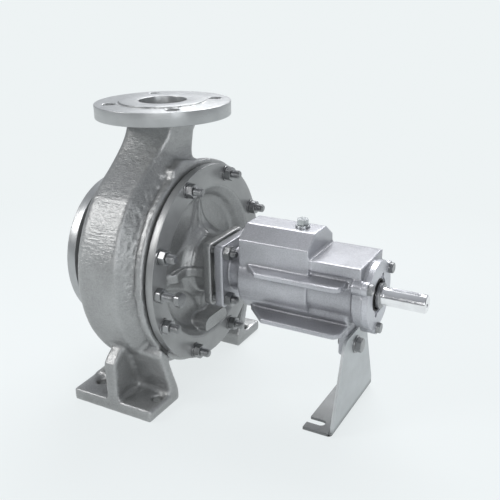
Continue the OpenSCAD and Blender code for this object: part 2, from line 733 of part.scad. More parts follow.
module shaft() {
    seat = impeller_seat_d / 2;
    mid = shaft_mid_d / 2;
    end_r = shaft_end_d / 2;
    pump_end = pump_bearing_x + bearing_w;
    step_x = bearing_cover_x + 9;
    color("gainsboro") difference() {
        // Turned about its axis, so that the seam of the round surface lies clear of the key seats
        translate([0, 0, axis_h]) rotate([36, 0, 0]) translate([0, 0, -axis_h])
            turned([[0, impeller_nut_end + 4], [impeller_thread_r - 1, impeller_nut_end + 4],
            [impeller_thread_r, impeller_nut_end + 5], [impeller_thread_r, impeller_hub_front + 1],
            [seat, impeller_hub_front + 1], [seat, sleeve_end_x],
            [shoulder_r, sleeve_end_x], [shoulder_r, pump_bearing_x - 4], [bore_r - fit, pump_bearing_x - 4],
            [bore_r - fit, pump_end], [mid, pump_end + 0.05], [mid, drive_bearing_x - 0.05],
            [bore_r - fit, drive_bearing_x], [bore_r - fit, bracket_end_x + 1], [shoulder_r, bracket_end_x + 1],
            [shoulder_r, step_x], [end_r, step_x + 0.3], [end_r, shaft_reach - 1.5], [end_r - 1.5, shaft_reach],
            [0, shaft_reach]]);
        circlip_groove(pump_bearing_x - circlip_t, bore_r);
        circlip_groove(drive_bearing_x + bearing_w, bore_r);
        // Key seat in the shaft end, open to the top and round at both ends
        for (x = [0, key_seat_len - key_seat_w])
            translate([shaft_reach - 6 - key_seat_w / 2 - x, 0, axis_h + end_r - 4])
                cylinder(h = 6, d = key_seat_w);
        translate([shaft_reach - 6 - key_seat_len + key_seat_w / 2, -key_seat_w / 2, axis_h + end_r - 4])
            cube([key_seat_len - key_seat_w, key_seat_w, 6]);
        // Key seat of the impeller
        translate([impeller_key_x - 0.1, -impeller_key_w / 2 - 0.1, axis_h + seat - 3.5])
            cube([impeller_key_len + 0.2, impeller_key_w + 0.2, 6]);
        // Centre hole in the drive end
        turned([[0, shaft_reach - 6], [1.6, shaft_reach - 4.4], [1.6, shaft_reach - 3], [4.2, shaft_reach + 0.1],
            [0, shaft_reach + 0.1]]);
    }
}

module shaft_sleeve() {
    color("lightgray") tube(impeller_hub_back, sleeve_end_x, sleeve_r, impeller_seat_d / 2 + fit);
}

// The collar between the two square flanges sets the gap between them
module seal_cover() {
    collar_r = seal_cover_r + 5;
    color("slategray") turned([[sleeve_r + 0.6, seal_seat_x + 4], [sleeve_r + 5.6, seal_seat_x + 4],
        [sleeve_r + 5.6, seal_cover_x], [seal_cover_r - fit, seal_cover_x], [seal_cover_r - fit, cover_square_x],
        [collar_r, cover_square_x], [collar_r, bracket_face_x], [seal_cover_r - fit, bracket_face_x],
        [seal_cover_r - fit, seal_cover_end], [sleeve_r + 0.6, seal_cover_end]]);
}

module seal_seat() {
    color("ivory") turned([[sleeve_r + 0.6, seal_seat_x], [sleeve_r + 7, seal_seat_x],
        [sleeve_r + 7, seal_cover_x], [sleeve_r + 5.6 - fit, seal_cover_x], [sleeve_r + 5.6 - fit, seal_seat_x + 4],
        [sleeve_r + 0.6, seal_seat_x + 4]]);
}

module seal_ring() {
    color("black") turned([[sleeve_r + fit, seal_ring_x], [sleeve_r + 7.5, seal_ring_x],
        [sleeve_r + 7.5, seal_ring_x + 3.5], [sleeve_r + 5, seal_ring_x + 4.5],
        [sleeve_r + 5, seal_seat_x - 0.02], [sleeve_r + fit, seal_seat_x - 0.02]]);
}

seal_collar_x = bush_x + bush_len + 4.5;
spring_wire_r = 1.25;

// Four closed turns stand for the spring between the collar and the seal ring
module seal_spring() {
    turns = 4;
    length = seal_ring_x - seal_collar_x - 5;
    pitch = (length - 2 * spring_wire_r) / (turns - 1);
    color("silver") for (k = [0 : turns - 1]) on_axis(seal_collar_x + 5 + spring_wire_r + pitch * k)
        rotate_extrude() translate([sleeve_r + 3, 0]) circle(r = spring_wire_r, $fn = 24);
}

module seal_collar() {
    color("lightgray") difference() {
        tube(seal_collar_x, seal_collar_x + 5, sleeve_r + 7, sleeve_r + fit);
        on_circle(3, sleeve_r + 4, 0) tube(seal_collar_x - over, seal_collar_x + 1.5, 1.5);
    }
}

// Cross-section of the bracket under the box, and its slimmer one towards the drive end
function barrel_skirt(half, edge) = [[-half, 0], [-half, -edge], [-half * 0.55, -edge - half * 0.45],
    [half * 0.55, -edge - half * 0.45], [half, -edge], [half, 0]];

// One pair of fins whose top lies at height z, slanted at the pump end and rounded at the drive end
module fins(z, root) {
    start = box_x + 12;
    end = bracket_end_x - 23;
    corner = 12;
    translate([0, 0, axis_h + z - fin_t]) for (s = [0, 1]) mirror([0, s, 0]) {
        linear_extrude(fin_t) polygon([[start, 0], [start, -root], [start + fin_reach - root, -fin_reach],
            [end - corner, -fin_reach], [end - corner, -fin_reach + corner], [end, -fin_reach + corner], [end, 0]]);
        translate([end - corner, -fin_reach + corner, 0]) cylinder(h = fin_t, r = corner);
    }
}

// Outline of the end boss and of the bearing cover: a disc with three screw lobes
module lobed_disc(x0, x1) {
    tube(x0, x1, end_boss_r);
    on_circle(3, cover_screw_circle_r, 60) tube(x0, x1, small_screw_d + 1);
}

module support_lug() {
    face = support_x - support_t;
    slab(face - 12, face, [[-23, -30], [-23, -support_bolt_drop - 6], [-18, -support_bolt_drop - 11],
        [18, -support_bolt_drop - 11], [23, -support_bolt_drop - 6], [23, -30]]);
    slab(face - 40, face, [[-5, -30], [-5, -58], [5, -58], [5, -30]]);
}

filler_x = box_end_x - 26;
drain_x = box_end_x + 13;
drain_boss_z = -66;
plug_r = 6;

module bearing_bracket() {
    skirt_edge = 26;
    color("lightsteelblue") difference() {
        union() {
            square_plate(bracket_face_x, bracket_square_back);
            tube(bracket_square_back - over, box_x + over, bracket_neck_r);
            // Fillet from the neck to the end wall
            turned([[0, box_x - 6], [bracket_neck_r, box_x - 6], [bracket_neck_r + 5, box_x], [0, box_x + over]]);
            // Raised box with bevelled shoulders
            slab(box_x, box_end_x, [[-box_half_w, 0], [-box_half_w, box_h - 17], [-box_flat_half_w, box_h],
                [box_flat_half_w, box_h], [box_half_w, box_h - 17], [box_half_w, 0]]);
            tube(box_x, box_end_x, barrel_r);
            slab(box_x, box_end_x, barrel_skirt(box_half_w, skirt_edge));
            // Slimmer barrel with the low pad
            tube(box_end_x - over, bracket_end_x - end_boss_len + over, barrel_end_r);
            slab(box_end_x - over, bracket_end_x - 22, barrel_skirt(box_half_w - 4, skirt_edge + 3));
            slab(box_end_x - over, bracket_end_x - end_boss_len + over, [[-box_half_w + 6, 0],
                [-box_half_w + 6, pad_h - over], [box_half_w - 6, pad_h - over], [box_half_w - 6, 0]]);
            slab(box_end_x + 3, bracket_end_x - 4, [[-box_half_w, pad_h - pad_t], [-box_half_w, pad_h],
                [box_half_w, pad_h], [box_half_w, pad_h - pad_t]]);
            fins(upper_fin_z, box_half_w - 1);
            fins(-lower_fin_z, 30);
            lobed_disc(bracket_end_x - end_boss_len, bracket_end_x);
            // Boss of the oil drain
            translate([drain_x, 0, axis_h + drain_boss_z]) cylinder(h = 30, r = 15);
            support_lug();
        }
        turned([[0, bracket_face_x - over], [seal_cover_r, bracket_face_x - over], [seal_cover_r, seal_cover_end],
            [oil_seal_r - 2, seal_cover_end + 2], [oil_seal_r - 2, box_x - 11], [oil_seal_r, box_x - 11],
            [oil_seal_r, box_x - 11 + oil_seal_w], [shoulder_r + 3, box_x - 11 + oil_seal_w],
            [shoulder_r + 3, box_x], [outer_ring_in_r, box_x], [outer_ring_in_r, pump_bearing_x],
            [bearing_r, pump_bearing_x], [bearing_r, bracket_end_x + over], [0, bracket_end_x + over]]);
        at_bracket_studs() tube(bracket_face_x - over, bracket_square_back + over, bolt_hole_r);
        on_circle(3, cover_screw_circle_r, 60) tube(bracket_end_x - 12, bracket_end_x + over,
            small_screw_d / 2 + thread_fit);
        translate([filler_x, 0, axis_h]) cylinder(h = box_h + over, r = plug_r + thread_fit);
        translate([drain_x, 0, axis_h + drain_boss_z - over])
            cylinder(h = -drain_boss_z, r = plug_r + thread_fit);
        translate([0, 0, -support_bolt_drop]) tube(support_x - 50, support_x, stud_r + thread_fit);
    }
}

module bracket_studs() {
    end = bracket_square_back + stud_nut_h + 7;
    x0 = cover_square_x - cover_square_t;
    color("silver") at_bracket_studs() turned([[0, x0], [stud_r, x0], [stud_r, end - 1], [stud_r - 1, end], [0, end]]);
}

module bracket_nuts() {
    x = bracket_square_back;
    color("silver") at_bracket_studs() difference() {
        hex_head(x, x + stud_nut_h, stud_nut_af);
        tube(x - over, x + stud_nut_h + over, stud_r + thread_fit);
    }
}

// Lip seal: a channel-shaped ring whose inner leg tapers to the lip
module oil_seal(x, land_r) {
    color("black") turned([[land_r + run_fit, x + 2], [land_r + 1.5, x], [oil_seal_r - fit, x],
        [oil_seal_r - fit, x + oil_seal_w], [oil_seal_r - 2, x + oil_seal_w], [oil_seal_r - 2, x + 2.5],
        [land_r + 3, x + 2.5], [land_r + 2, x + 5], [land_r + run_fit, x + 5]]);
}

module bracket_oil_seal() {
    oil_seal(box_x - 11, shoulder_r);
}

module cover_oil_seal() {
    oil_seal(bearing_cover_x - oil_seal_w - 0.5, shoulder_r);
}

// Ring of a ball bearing with its raceway groove
module race(x, r_out, r_in) {
    groove_r = ball_r + 0.12;
    color("lightgray") on_axis(x) difference() {
        cylinder(h = bearing_w, r = r_out);
        translate([0, 0, -over]) cylinder(h = bearing_w + 2 * over, r = r_in);
        rotate_extrude() translate([pitch_r, bearing_w / 2]) circle(r = groove_r);
    }
}

module balls(x) {
    color("white") on_circle(ball_count, pitch_r, 0) translate([x + bearing_w / 2, 0, axis_h])
        sphere(r = ball_r);
}

// Band through the balls' centres with one round pocket for each ball
module cage(x) {
    mid = x + bearing_w / 2;
    color("peru") difference() {
        tube(mid - ball_r - 1, mid + ball_r + 1, pitch_r + 1.8, pitch_r - 1.4);
        on_circle(ball_count, pitch_r, 0) translate([mid, 0, axis_h - 6]) cylinder(h = 12, r = ball_r + 0.15);
    }
}

module pump_side_outer_ring() {
    race(pump_bearing_x, bearing_r - fit, outer_ring_in_r);
}

module pump_side_inner_ring() {
    race(pump_bearing_x, inner_ring_r, bore_r);
}

module pump_side_balls() {
    balls(pump_bearing_x);
}

module pump_side_cage() {
    cage(pump_bearing_x);
}

module drive_side_outer_ring() {
    race(drive_bearing_x, bearing_r - fit, outer_ring_in_r);
}

module drive_side_inner_ring() {
    race(drive_bearing_x, inner_ring_r, bore_r);
}

module drive_side_balls() {
    balls(drive_bearing_x);
}

module drive_side_cage() {
    cage(drive_bearing_x);
}

// Open spring ring in its groove
module circlip(x) {
    difference() {
        tube(x + 0.1, x + circlip_t - 0.1, bore_r + 2.5, bore_r - 1.1);
        translate([x - over, -3, axis_h]) cube([circlip_t + 2 * over, 6, 30]);
    }
}

module shaft_circlips() {
    color("dimgray") {
        circlip(pump_bearing_x - circlip_t);
        circlip(drive_bearing_x + bearing_w);
    }
}

module bearing_cover() {
    pocket_r = oil_seal_r + 3;
    color("lightsteelblue") difference() {
        union() {
            lobed_disc(bracket_end_x, bearing_cover_x);
            turned([[outer_ring_in_r, drive_bearing_x + bearing_w], [bearing_r - fit, drive_bearing_x + bearing_w],
                [bearing_r - fit, bracket_end_x + over], [bore_r + 4, bracket_end_x + over],
                [bore_r + 4, drive_bearing_x + bearing_w + 2.2], [outer_ring_in_r, drive_bearing_x + bearing_w + 2.2]]);
        }
        turned([[0, bracket_end_x - over], [bore_r + 5, bracket_end_x - over],
            [bore_r + 5, bearing_cover_x - oil_seal_w - 0.5], [oil_seal_r, bearing_cover_x - oil_seal_w - 0.5],
            [oil_seal_r, bearing_cover_x - 1.5],
            [pocket_r, bearing_cover_x - 1.5], [pocket_r, bearing_cover_x + over], [0, bearing_cover_x + over]]);
        // Notches of the pocket, one above the shaft and one below
        for (a = [-28, 162]) translate([0, 0, axis_h]) rotate([a, 0, 0]) translate([0, 0, pocket_r + 1]) {
            translate([bearing_cover_x - 2.5, 0, 0]) rotate([0, 90, 0]) cylinder(h = 5, r = 4);
            translate([bearing_cover_x - 2.5, -4, -12]) cube([5, 8, 12]);
        }
        on_circle(3, cover_screw_circle_r, 60)
            tube(bracket_end_x - over, bearing_cover_x + over, small_screw_d / 2 + 0.5);
    }
}

module bearing_cover_screws() {
    head_h = 5.3;
    color("silver") on_circle(3, cover_screw_circle_r, 60) {
        tube(bracket_end_x - 11, bearing_cover_x + over, small_screw_d / 2);
        hex_head(bearing_cover_x, bearing_cover_x + head_h, small_screw_af);
    }
}

module deflector_ring() {
    x = bearing_cover_x + 0.6;
    color("dimgray") turned([[shoulder_r + fit, x + 1.5], [sleeve_r - 0.5, x + 1.5], [sleeve_r + 1.5, x],
        [sleeve_r + 2, x], [sleeve_r + 2, x + 4], [sleeve_r, x + 5.5], [shoulder_r + fit, x + 5.5]]);
}

filler_washer_t = 3.5;

module filler_plug_washer() {
    color("black") translate([filler_x, 0, axis_h + box_h]) difference() {
        cylinder(h = filler_washer_t, r = plug_r + 3.6);
        translate([0, 0, -over]) cylinder(h = filler_washer_t + 2 * over, r = plug_r + thread_fit);
    }
}

module filler_plug() {
    color("silver") translate([filler_x, 0, axis_h + box_h + filler_washer_t]) {
        cylinder(h = 7.5, r = 8, $fn = 6);
        translate([0, 0, -filler_washer_t - 14]) cylinder(h = filler_washer_t + 15, r = plug_r);
    }
}

// Socket plug, flush in the drain boss
module drain_plug() {
    color("silver") translate([drain_x, 0, axis_h + drain_boss_z + 0.5]) difference() {
        cylinder(h = 12, r = plug_r);
        translate([0, 0, -over]) cylinder(h = 6, r = 3.4, $fn = 6);
    }
}

// Bent sheet: a tapered upright, a round bend and a flange that reaches towards the casing
module support_foot() {
    bend_r = support_t + 4;
    back = support_x - support_base_depth;
    top = axis_h - support_bolt_drop + 20;
    slot_r = support_slot_w / 2;
    color("whitesmoke") difference() {
        union() {
            slab(support_x - support_t, support_x, [[-support_half_w, bend_r - axis_h],
                [-support_half_w, 16 - axis_h], [-support_top_half_w, top - 6 - axis_h],
                [-support_top_half_w + 7, top - axis_h], [support_top_half_w - 7, top - axis_h],
                [support_top_half_w, top - 6 - axis_h], [support_half_w, 16 - axis_h],
                [support_half_w, bend_r - axis_h]]);
            translate([back, -support_half_w, 0]) cube([support_base_depth - bend_r, 2 * support_half_w, support_t]);
            translate([support_x - bend_r, -support_half_w, bend_r]) rotate([-90, 0, 0]) difference() {
                cylinder(h = 2 * support_half_w, r = bend_r);
                translate([0, 0, -over]) cylinder(h = 2 * support_half_w + 2 * over, r = bend_r - support_t);
                translate([-2 * bend_r, -bend_r, -over]) cube([2 * bend_r, 2 * bend_r, 400]);
                translate([-over, -2 * bend_r, -over]) cube([3 * bend_r, 2 * bend_r, 400]);
            }
        }
        translate([0, 0, -support_bolt_drop])
            tube(support_x - support_t - over, support_x + over, bolt_hole_r - 0.4);
        for (s = [-1, 1]) translate([back + support_slot_len - slot_r, s * support_slot_y, -over]) {
            cylinder(h = support_t + 2 * over, r = slot_r);
            translate([-support_slot_len, -slot_r, 0]) cube([support_slot_len, support_slot_w, support_t + 2 * over]);
        }
    }
}

module support_foot_washer() {
    color("silver") translate([0, 0, -support_bolt_drop])
        tube(support_x, support_x + washer_t, washer_r, stud_r + 0.3);
}

module support_foot_bolt() {
    x = support_x + washer_t;
    color("silver") translate([0, 0, -support_bolt_drop]) {
        turned([[0, x - 26], [stud_r - 1, x - 26], [stud_r, x - 25], [stud_r, x + over], [0, x + over]]);
        hex_head(x, x + 7.5, stud_nut_af);
    }
}

volute_casing();
casing_wear_ring();
casing_cover();
cover_wear_ring();
cover_gasket();
throttle_bush();
cover_studs();
cover_nuts();
cover_washers();
forcing_screws();
forcing_screw_nuts();
impeller();
impeller_key();
impeller_nut();
impeller_washer();
shaft();
shaft_sleeve();
seal_cover();
seal_seat();
seal_ring();
seal_spring();
seal_collar();
bearing_bracket();
bracket_studs();
bracket_nuts();
bracket_oil_seal();
pump_side_outer_ring();
pump_side_inner_ring();
pump_side_balls();
pump_side_cage();
drive_side_outer_ring();
drive_side_inner_ring();
drive_side_balls();
drive_side_cage();
shaft_circlips();
bearing_cover();
bearing_cover_screws();
cover_oil_seal();
deflector_ring();
filler_plug();
filler_plug_washer();
drain_plug();
support_foot();
support_foot_bolt();
support_foot_washer();
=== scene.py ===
"""Looks of the hot-oil pump: castings with their skins, machined flanges, threads, metals and the studio."""
import json

import bmesh
import bpy
import numpy as np
from mathutils import Matrix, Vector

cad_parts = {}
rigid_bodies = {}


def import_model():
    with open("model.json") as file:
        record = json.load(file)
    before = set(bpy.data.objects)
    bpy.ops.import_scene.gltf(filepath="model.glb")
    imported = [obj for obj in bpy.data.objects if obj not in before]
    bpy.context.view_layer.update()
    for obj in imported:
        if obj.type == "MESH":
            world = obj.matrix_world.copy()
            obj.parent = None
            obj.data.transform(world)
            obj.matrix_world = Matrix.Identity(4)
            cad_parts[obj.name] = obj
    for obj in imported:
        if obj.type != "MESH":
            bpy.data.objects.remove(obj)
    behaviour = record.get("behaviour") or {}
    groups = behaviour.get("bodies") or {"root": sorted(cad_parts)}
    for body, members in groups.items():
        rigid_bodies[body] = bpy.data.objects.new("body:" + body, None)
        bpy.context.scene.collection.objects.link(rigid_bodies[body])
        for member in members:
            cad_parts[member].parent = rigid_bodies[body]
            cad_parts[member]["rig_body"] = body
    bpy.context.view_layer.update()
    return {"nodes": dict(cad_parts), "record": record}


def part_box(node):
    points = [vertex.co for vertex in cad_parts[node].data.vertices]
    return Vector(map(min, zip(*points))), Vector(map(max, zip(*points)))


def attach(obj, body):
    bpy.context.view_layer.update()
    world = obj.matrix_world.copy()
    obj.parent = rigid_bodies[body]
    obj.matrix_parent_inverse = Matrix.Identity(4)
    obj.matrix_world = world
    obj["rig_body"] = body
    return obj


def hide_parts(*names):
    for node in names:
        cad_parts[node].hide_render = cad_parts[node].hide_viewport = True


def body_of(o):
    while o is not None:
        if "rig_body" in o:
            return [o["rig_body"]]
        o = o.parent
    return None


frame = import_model()

bl_info = {
    "name": "Hot-oil pump looks",
    "version": (1, 0, 0),
    "blender": (4, 5, 0),
    "location": "3D View > Sidebar > Pump",
    "description": "Dresses the packed pump with casting skins, machined faces, threads and metals",
    "category": "Object",
}

STATIONARY = "pump_frame"
ROTOR = "rotor"
# Height of the shaft axis, in metres and in millimetres
AXIS_Z = 0.180
AXIS_MM = 1000 * AXIS_Z


def colour(name, text, value):
    """A colour setting with its name, what it is for, and its default."""
    return bpy.props.FloatVectorProperty(name=name, description=text, default=value, subtype="COLOR",
                                         size=3, min=0.0, max=1.0)


def length(name, text, value, top):
    """A length setting in metres."""
    return bpy.props.FloatProperty(name=name, description=text, default=value, min=0.0, max=top,
                                   unit="LENGTH", precision=5)


class PUMP_PG_sizes(bpy.types.PropertyGroup):
    """Steps of the grids that the skins are cast on."""
    casing_grain: length("Casing skin step", "Step of the grid under the casing's skin", 0.0027, 0.005)
    cover_grain: length("Cover skin step", "Step of the grid under the cover's skin", 0.00158, 0.005)
    bracket_grain: length("Bracket skin step", "Step of the grid under the bracket's skin", 0.00146, 0.005)


class PUMP_PG_colours(bpy.types.PropertyGroup):
    """Colours of the paints, metals and of the studio."""
    casting: colour("Casting paint", "Silver-grey paint on the casing and its cover", (0.33, 0.335, 0.335))
    bracket: colour("Bracket paint", "Lighter silver paint on the bearing bracket", (0.43, 0.435, 0.46))
    machined: colour("Machined iron", "Turned and painted-over flange rims", (0.42, 0.43, 0.435))
    zinc: colour("Zinc", "Plated studs, nuts and washers", (0.34, 0.345, 0.35))
    steel: colour("Ground steel", "Shaft, sleeve and ball bearings", (0.90, 0.90, 0.91))
    sheet: colour("Plated sheet", "Bright plated support foot and filler plug", (0.52, 0.54, 0.545))
    iron: colour("Bare iron", "Impeller and wear rings", (0.22, 0.22, 0.22))
    brass: colour("Brass", "Cages of the ball bearings", (0.62, 0.43, 0.16))
    carbon: colour("Carbon", "Bush, seal faces and gasket", (0.02, 0.02, 0.022))
    rubber: colour("Rubber", "Lip seals", (0.018, 0.018, 0.018))
    backdrop: colour("Backdrop", "Pale bluish white of the studio", (0.854, 0.896, 0.904))


class Nodes:
    """Builds one procedural material, or the world, node by node."""

    def __init__(self, name, world=False):
        self.mat = bpy.data.worlds.new(name) if world else bpy.data.materials.new(name)
        self.mat.use_nodes = True
        self.tree = self.mat.node_tree
        self.shader = self.tree.nodes["Background" if world else "Principled BSDF"]
        where = self.tree.nodes.new("ShaderNodeTexCoord")
        self.place = where.outputs["Generated" if world else "Object"]

    def link(self, a, b):
        """Links one output to one input."""
        self.tree.links.new(a, b)

    def feed(self, sock, value):
        """Gives an input another node's output or a plain value."""
        if hasattr(value, "links"):
            self.link(value, sock)
        elif isinstance(value, tuple) and sock.type == "RGBA" and len(value) == 3:
            sock.default_value = (*value, 1.0)
        else:
            sock.default_value = value

    def node(self, kind, **sockets):
        """New node whose inputs are fed by name, an underscore standing for a space."""
        n = self.tree.nodes.new(kind)
        for key, value in sockets.items():
            self.feed(n.inputs[key.replace("_", " ")], value)
        return n

    def mapped(self, **settings):
        """The coordinates moved by Location or stretched by Scale."""
        return self.node("ShaderNodeMapping", Vector=self.place, **settings).outputs["Vector"]

    def size_of(self, vector):
        """Length of a vector."""
        n = self.tree.nodes.new("ShaderNodeVectorMath")
        n.operation = "LENGTH"
        self.link(vector, n.inputs[0])
        return n.outputs["Value"]

    def rings(self, axis, scale):
        """Coordinates that change with the radius and with the place along an axis, and hardly round it."""
        round_scale = 9.0
        if axis == "x":
            off = self.mapped(Location=(0.0, 0.0, -AXIS_Z), Scale=(0.0, 1.0, 1.0))
        else:
            off = self.mapped(Scale=(1.0, 1.0, 0.0))
        along = self.node("ShaderNodeSeparateXYZ", Vector=self.place)
        r = self.math("MULTIPLY", self.size_of(off), scale)
        h = self.math("MULTIPLY", along.outputs[axis.upper()], scale)
        side = self.math("MULTIPLY", along.outputs["Y"], round_scale)
        return self.node("ShaderNodeCombineXYZ", X=r, Y=h, Z=side).outputs["Vector"]

    def noise(self, scale, detail=2.0, rough=0.5, where=None):
        """Noise from 0 to 1."""
        n = self.node("ShaderNodeTexNoise", Vector=where or self.place, Scale=scale, Detail=detail,
                      Roughness=rough)
        return n.outputs["Fac"]

    def ramp(self, fac, stops):
        """Colour ramp over two (place, colour) stops."""
        n = self.node("ShaderNodeValToRGB", Fac=fac)
        for e, (pos, value) in zip(n.color_ramp.elements, stops):
            e.position = pos
            e.color = (*value, 1.0)
        return n.outputs["Color"]

    def math(self, op, a, b):
        """Arithmetic on two values."""
        n = self.tree.nodes.new("ShaderNodeMath")
        n.operation = op
        self.feed(n.inputs[0], a)
        self.feed(n.inputs[1], b)
        return n.outputs[0]

    def tint(self, base, fac, low, high):
        """Colour that runs from base times low to base times high as fac goes from 0.3 to 0.7."""
        return self.ramp(fac, [(0.3, tuple(c * low for c in base)),
                               (0.7, tuple(min(1.0, c * high) for c in base))])

    def spread(self, fac, low, high, start=0.3, end=0.7):
        """Value that runs from low to high as fac goes from start to end."""
        return self.node("ShaderNodeMapRange", Value=fac, From_Min=start, From_Max=end,
                         To_Min=low, To_Max=high).outputs[0]

    def bump(self, height, strength, distance, normal=None):
        """Normal bent by a height, on top of another normal if one is given."""
        n = self.node("ShaderNodeBump", Height=height, Strength=strength, Distance=distance)
        if normal is not None:
            self.link(normal, n.inputs["Normal"])
        return n.outputs["Normal"]

    def shown(self, seen, other, output):
        """Mixes the shader with another one by what a ray sees, and sends the mix to the output."""
        mix = self.tree.nodes.new("ShaderNodeMixShader")
        self.link(seen, mix.inputs[0])
        self.link(self.shader.outputs[0], mix.inputs[1])
        self.link(other.outputs[0], mix.inputs[2])
        self.link(mix.outputs[0], self.tree.nodes[output].inputs["Surface"])

    def finish(self, base, metallic, rough, normal):
        """Feeds the shader and returns the material."""
        for key, value in (("Base Color", base), ("Metallic", metallic), ("Roughness", rough),
                           ("Normal", normal)):
            self.feed(self.shader.inputs[key], value)
        return self.mat


def cast_paint(name, base, grain, metallic=0.7, rough=(0.30, 0.46), relief=1.0):
    """Aluminium paint over sand-cast iron: fine grit, dents, and level brush marks in patches. Its hollows are
    darkened with painted shade, and its edges are rubbed lighter."""
    n = Nodes(name)
    grit = n.noise(grain, detail=4.0, rough=0.62)
    dents = n.noise(grain * 0.2, detail=3.0, rough=0.55)
    cloud = n.noise(9.0, detail=3.0, rough=0.55)
    patch = n.spread(n.noise(15.0, where=n.mapped(Location=(3.7, 3.7, 3.7))), 0.0, 1.0)
    marks = n.noise(1.0, detail=3.0, rough=0.6, where=n.mapped(Scale=(60.0, 60.0, 330.0)))
    edge = n.tree.nodes.new("ShaderNodeNewGeometry").outputs["Pointiness"]
    # Pointiness: painted shade darkens the hollows, and rubbed wear lightens the edges
    hollow_shade_and_edge_wear = n.spread(edge, -0.16, 0.18, start=0.44, end=0.57)
    tone = n.math("ADD", n.math("MULTIPLY", grit, 0.45), n.math("MULTIPLY", cloud, 0.55))
    tone = n.math("ADD", tone, hollow_shade_and_edge_wear)
    normal = n.bump(grit, strength=0.36 * relief, distance=0.0007)
    normal = n.bump(dents, strength=0.36 * relief, distance=0.0014, normal=normal)
    normal = n.bump(n.math("MULTIPLY", marks, patch), strength=0.6 * relief, distance=0.0014, normal=normal)
    return n.finish(n.tint(base, tone, 0.66, 1.34), metallic, n.spread(grit, *rough), normal)


def turned_metal(name, base, rough, axis, metallic=1.0):
    """Lathe-turned metal: fine lines that run round the shaft or the discharge axis, with a faint stain."""
    n = Nodes(name)
    cut = n.noise(1.0, rough=0.6, where=n.rings(axis, 2400.0))
    stain = n.noise(28.0, detail=3.0, rough=0.6)
    normal = n.bump(cut, strength=0.18, distance=0.0002)
    return n.finish(n.tint(base, stain, 0.9, 1.08), metallic, n.spread(cut, rough * 0.8, rough * 1.25), normal)


def plated(name, base, rough, scale, relief=1.0, metallic=1.0, shaded_up_to=0.0):
    """Zinc plating: small crystals of slightly different tone and gloss, and painted shade that darkens it towards
    the bottom, up to a height if one is given."""
    n = Nodes(name)
    spangle = n.noise(scale, detail=3.0, rough=0.6)
    cloud = n.noise(scale * 0.12)
    normal = n.bump(spangle, strength=0.08 * relief, distance=0.0003)
    gloss = n.spread(spangle, rough * (1.0 - 0.25 * relief), rough * (1.0 + 0.35 * relief))
    tone = n.tint(base, cloud, 1.0 - 0.16 * relief, 1.0 + 0.12 * relief)
    if shaded_up_to:
        # Painted shade: the colour darkens towards the floor below the given height
        height = n.node("ShaderNodeSeparateXYZ", Vector=n.place).outputs["Z"]
        floor_shade = n.ramp(n.math("DIVIDE", height, shaded_up_to), [(0.3, (0.34,) * 3), (1.0, (1.0,) * 3)])
        mixed = n.node("ShaderNodeMixRGB", Fac=1.0, Color1=tone, Color2=floor_shade)
        mixed.blend_type = "MULTIPLY"
        tone = mixed.outputs[0]
    return n.finish(tone, metallic, gloss, normal)


def dull(name, base, rough, scale, metallic=0.0):
    """Rubber, carbon and brass: a matt body with a fine skin."""
    n = Nodes(name)
    skin = n.noise(scale, detail=3.0, rough=0.6)
    normal = n.bump(skin, strength=0.2, distance=0.0003)
    return n.finish(n.tint(base, skin, 0.8, 1.25), metallic, n.spread(skin, rough * 0.85, rough * 1.15), normal)


def wanted(settings):
    """The materials of the pump, by name."""
    c = {key: tuple(getattr(settings, key)) for key in settings.__annotations__}
    return {
        "casting": cast_paint("casting_paint", c["casting"], 420.0, relief=1.5),
        "bracket": cast_paint("bracket_paint", c["bracket"], 620.0, metallic=0.65, rough=(0.28, 0.40),
                              relief=0.45),
        "machined": turned_metal("machined_suction", c["machined"], 0.34, "x", metallic=0.85),
        "machined_top": turned_metal("machined_discharge", c["machined"], 0.34, "z", metallic=0.85),
        "casting_rim": turned_metal("machined_joint", c["casting"], 0.36, "x", metallic=0.62),
        "bright": plated("bright_zinc", c["sheet"], 0.26, 900.0),
        "zinc_thread": plated("zinc_thread", tuple(v * 0.9 for v in c["zinc"]), 0.34, 900.0),
        "zinc": plated("zinc_plate", c["zinc"], 0.33, 900.0),
        "steel": turned_metal("ground_steel", c["steel"], 0.17, "x"),
        # The sheet foot gets painted shade, darker towards the floor
        "sheet": plated("plated_sheet", c["sheet"], 0.46, 420.0, relief=0.35, metallic=0.5, shaded_up_to=0.014),
        "iron": cast_paint("bare_iron", c["iron"], 500.0, metallic=0.8, rough=(0.35, 0.5)),
        "brass": dull("cage_brass", c["brass"], 0.3, 700.0, metallic=1.0),
        "carbon": dull("carbon_black", c["carbon"], 0.42, 900.0),
        "rubber": dull("black_rubber", c["rubber"], 0.62, 700.0),
        "ball": plated("ball_steel", c["steel"], 0.08, 600.0),
    }


LOOK_OF_SLOT = {
    "casting_paint": "casting", "bracket_paint": "bracket", "plated_steel": "zinc", "plated_sheet": "sheet",
    "ground_steel": "steel", "bearing_steel": "ball", "cage_brass": "brass", "bare_iron": "iron",
    "carbon": "carbon", "black_rubber": "rubber",
}
LOOKS = {}
SLOT_OF_NODE = {r["node"]: r["material_slot"] for r in frame["record"]["subparts"]}


def dress(obj, look):
    """Gives an object one of the pump's materials."""
    obj.data.materials.clear()
    obj.data.materials.append(LOOKS[look])


def linked(name, data):
    """New object in the scene."""
    obj = bpy.data.objects.new(name, data)
    bpy.context.scene.collection.objects.link(obj)
    return obj


def mesh_of(name, points, faces):
    """Mesh from points (n x 3, metres) and faces."""
    mesh = bpy.data.meshes.new(name)
    mesh.from_pydata(np.asarray(points).tolist(), [], faces)
    return mesh


def shaded(mesh, sharp):
    """Shades a mesh round wherever its faces meet flatter than the sharp angle, in degrees."""
    mesh.shade_smooth()
    mesh.set_sharp_from_angle(angle=np.radians(sharp))


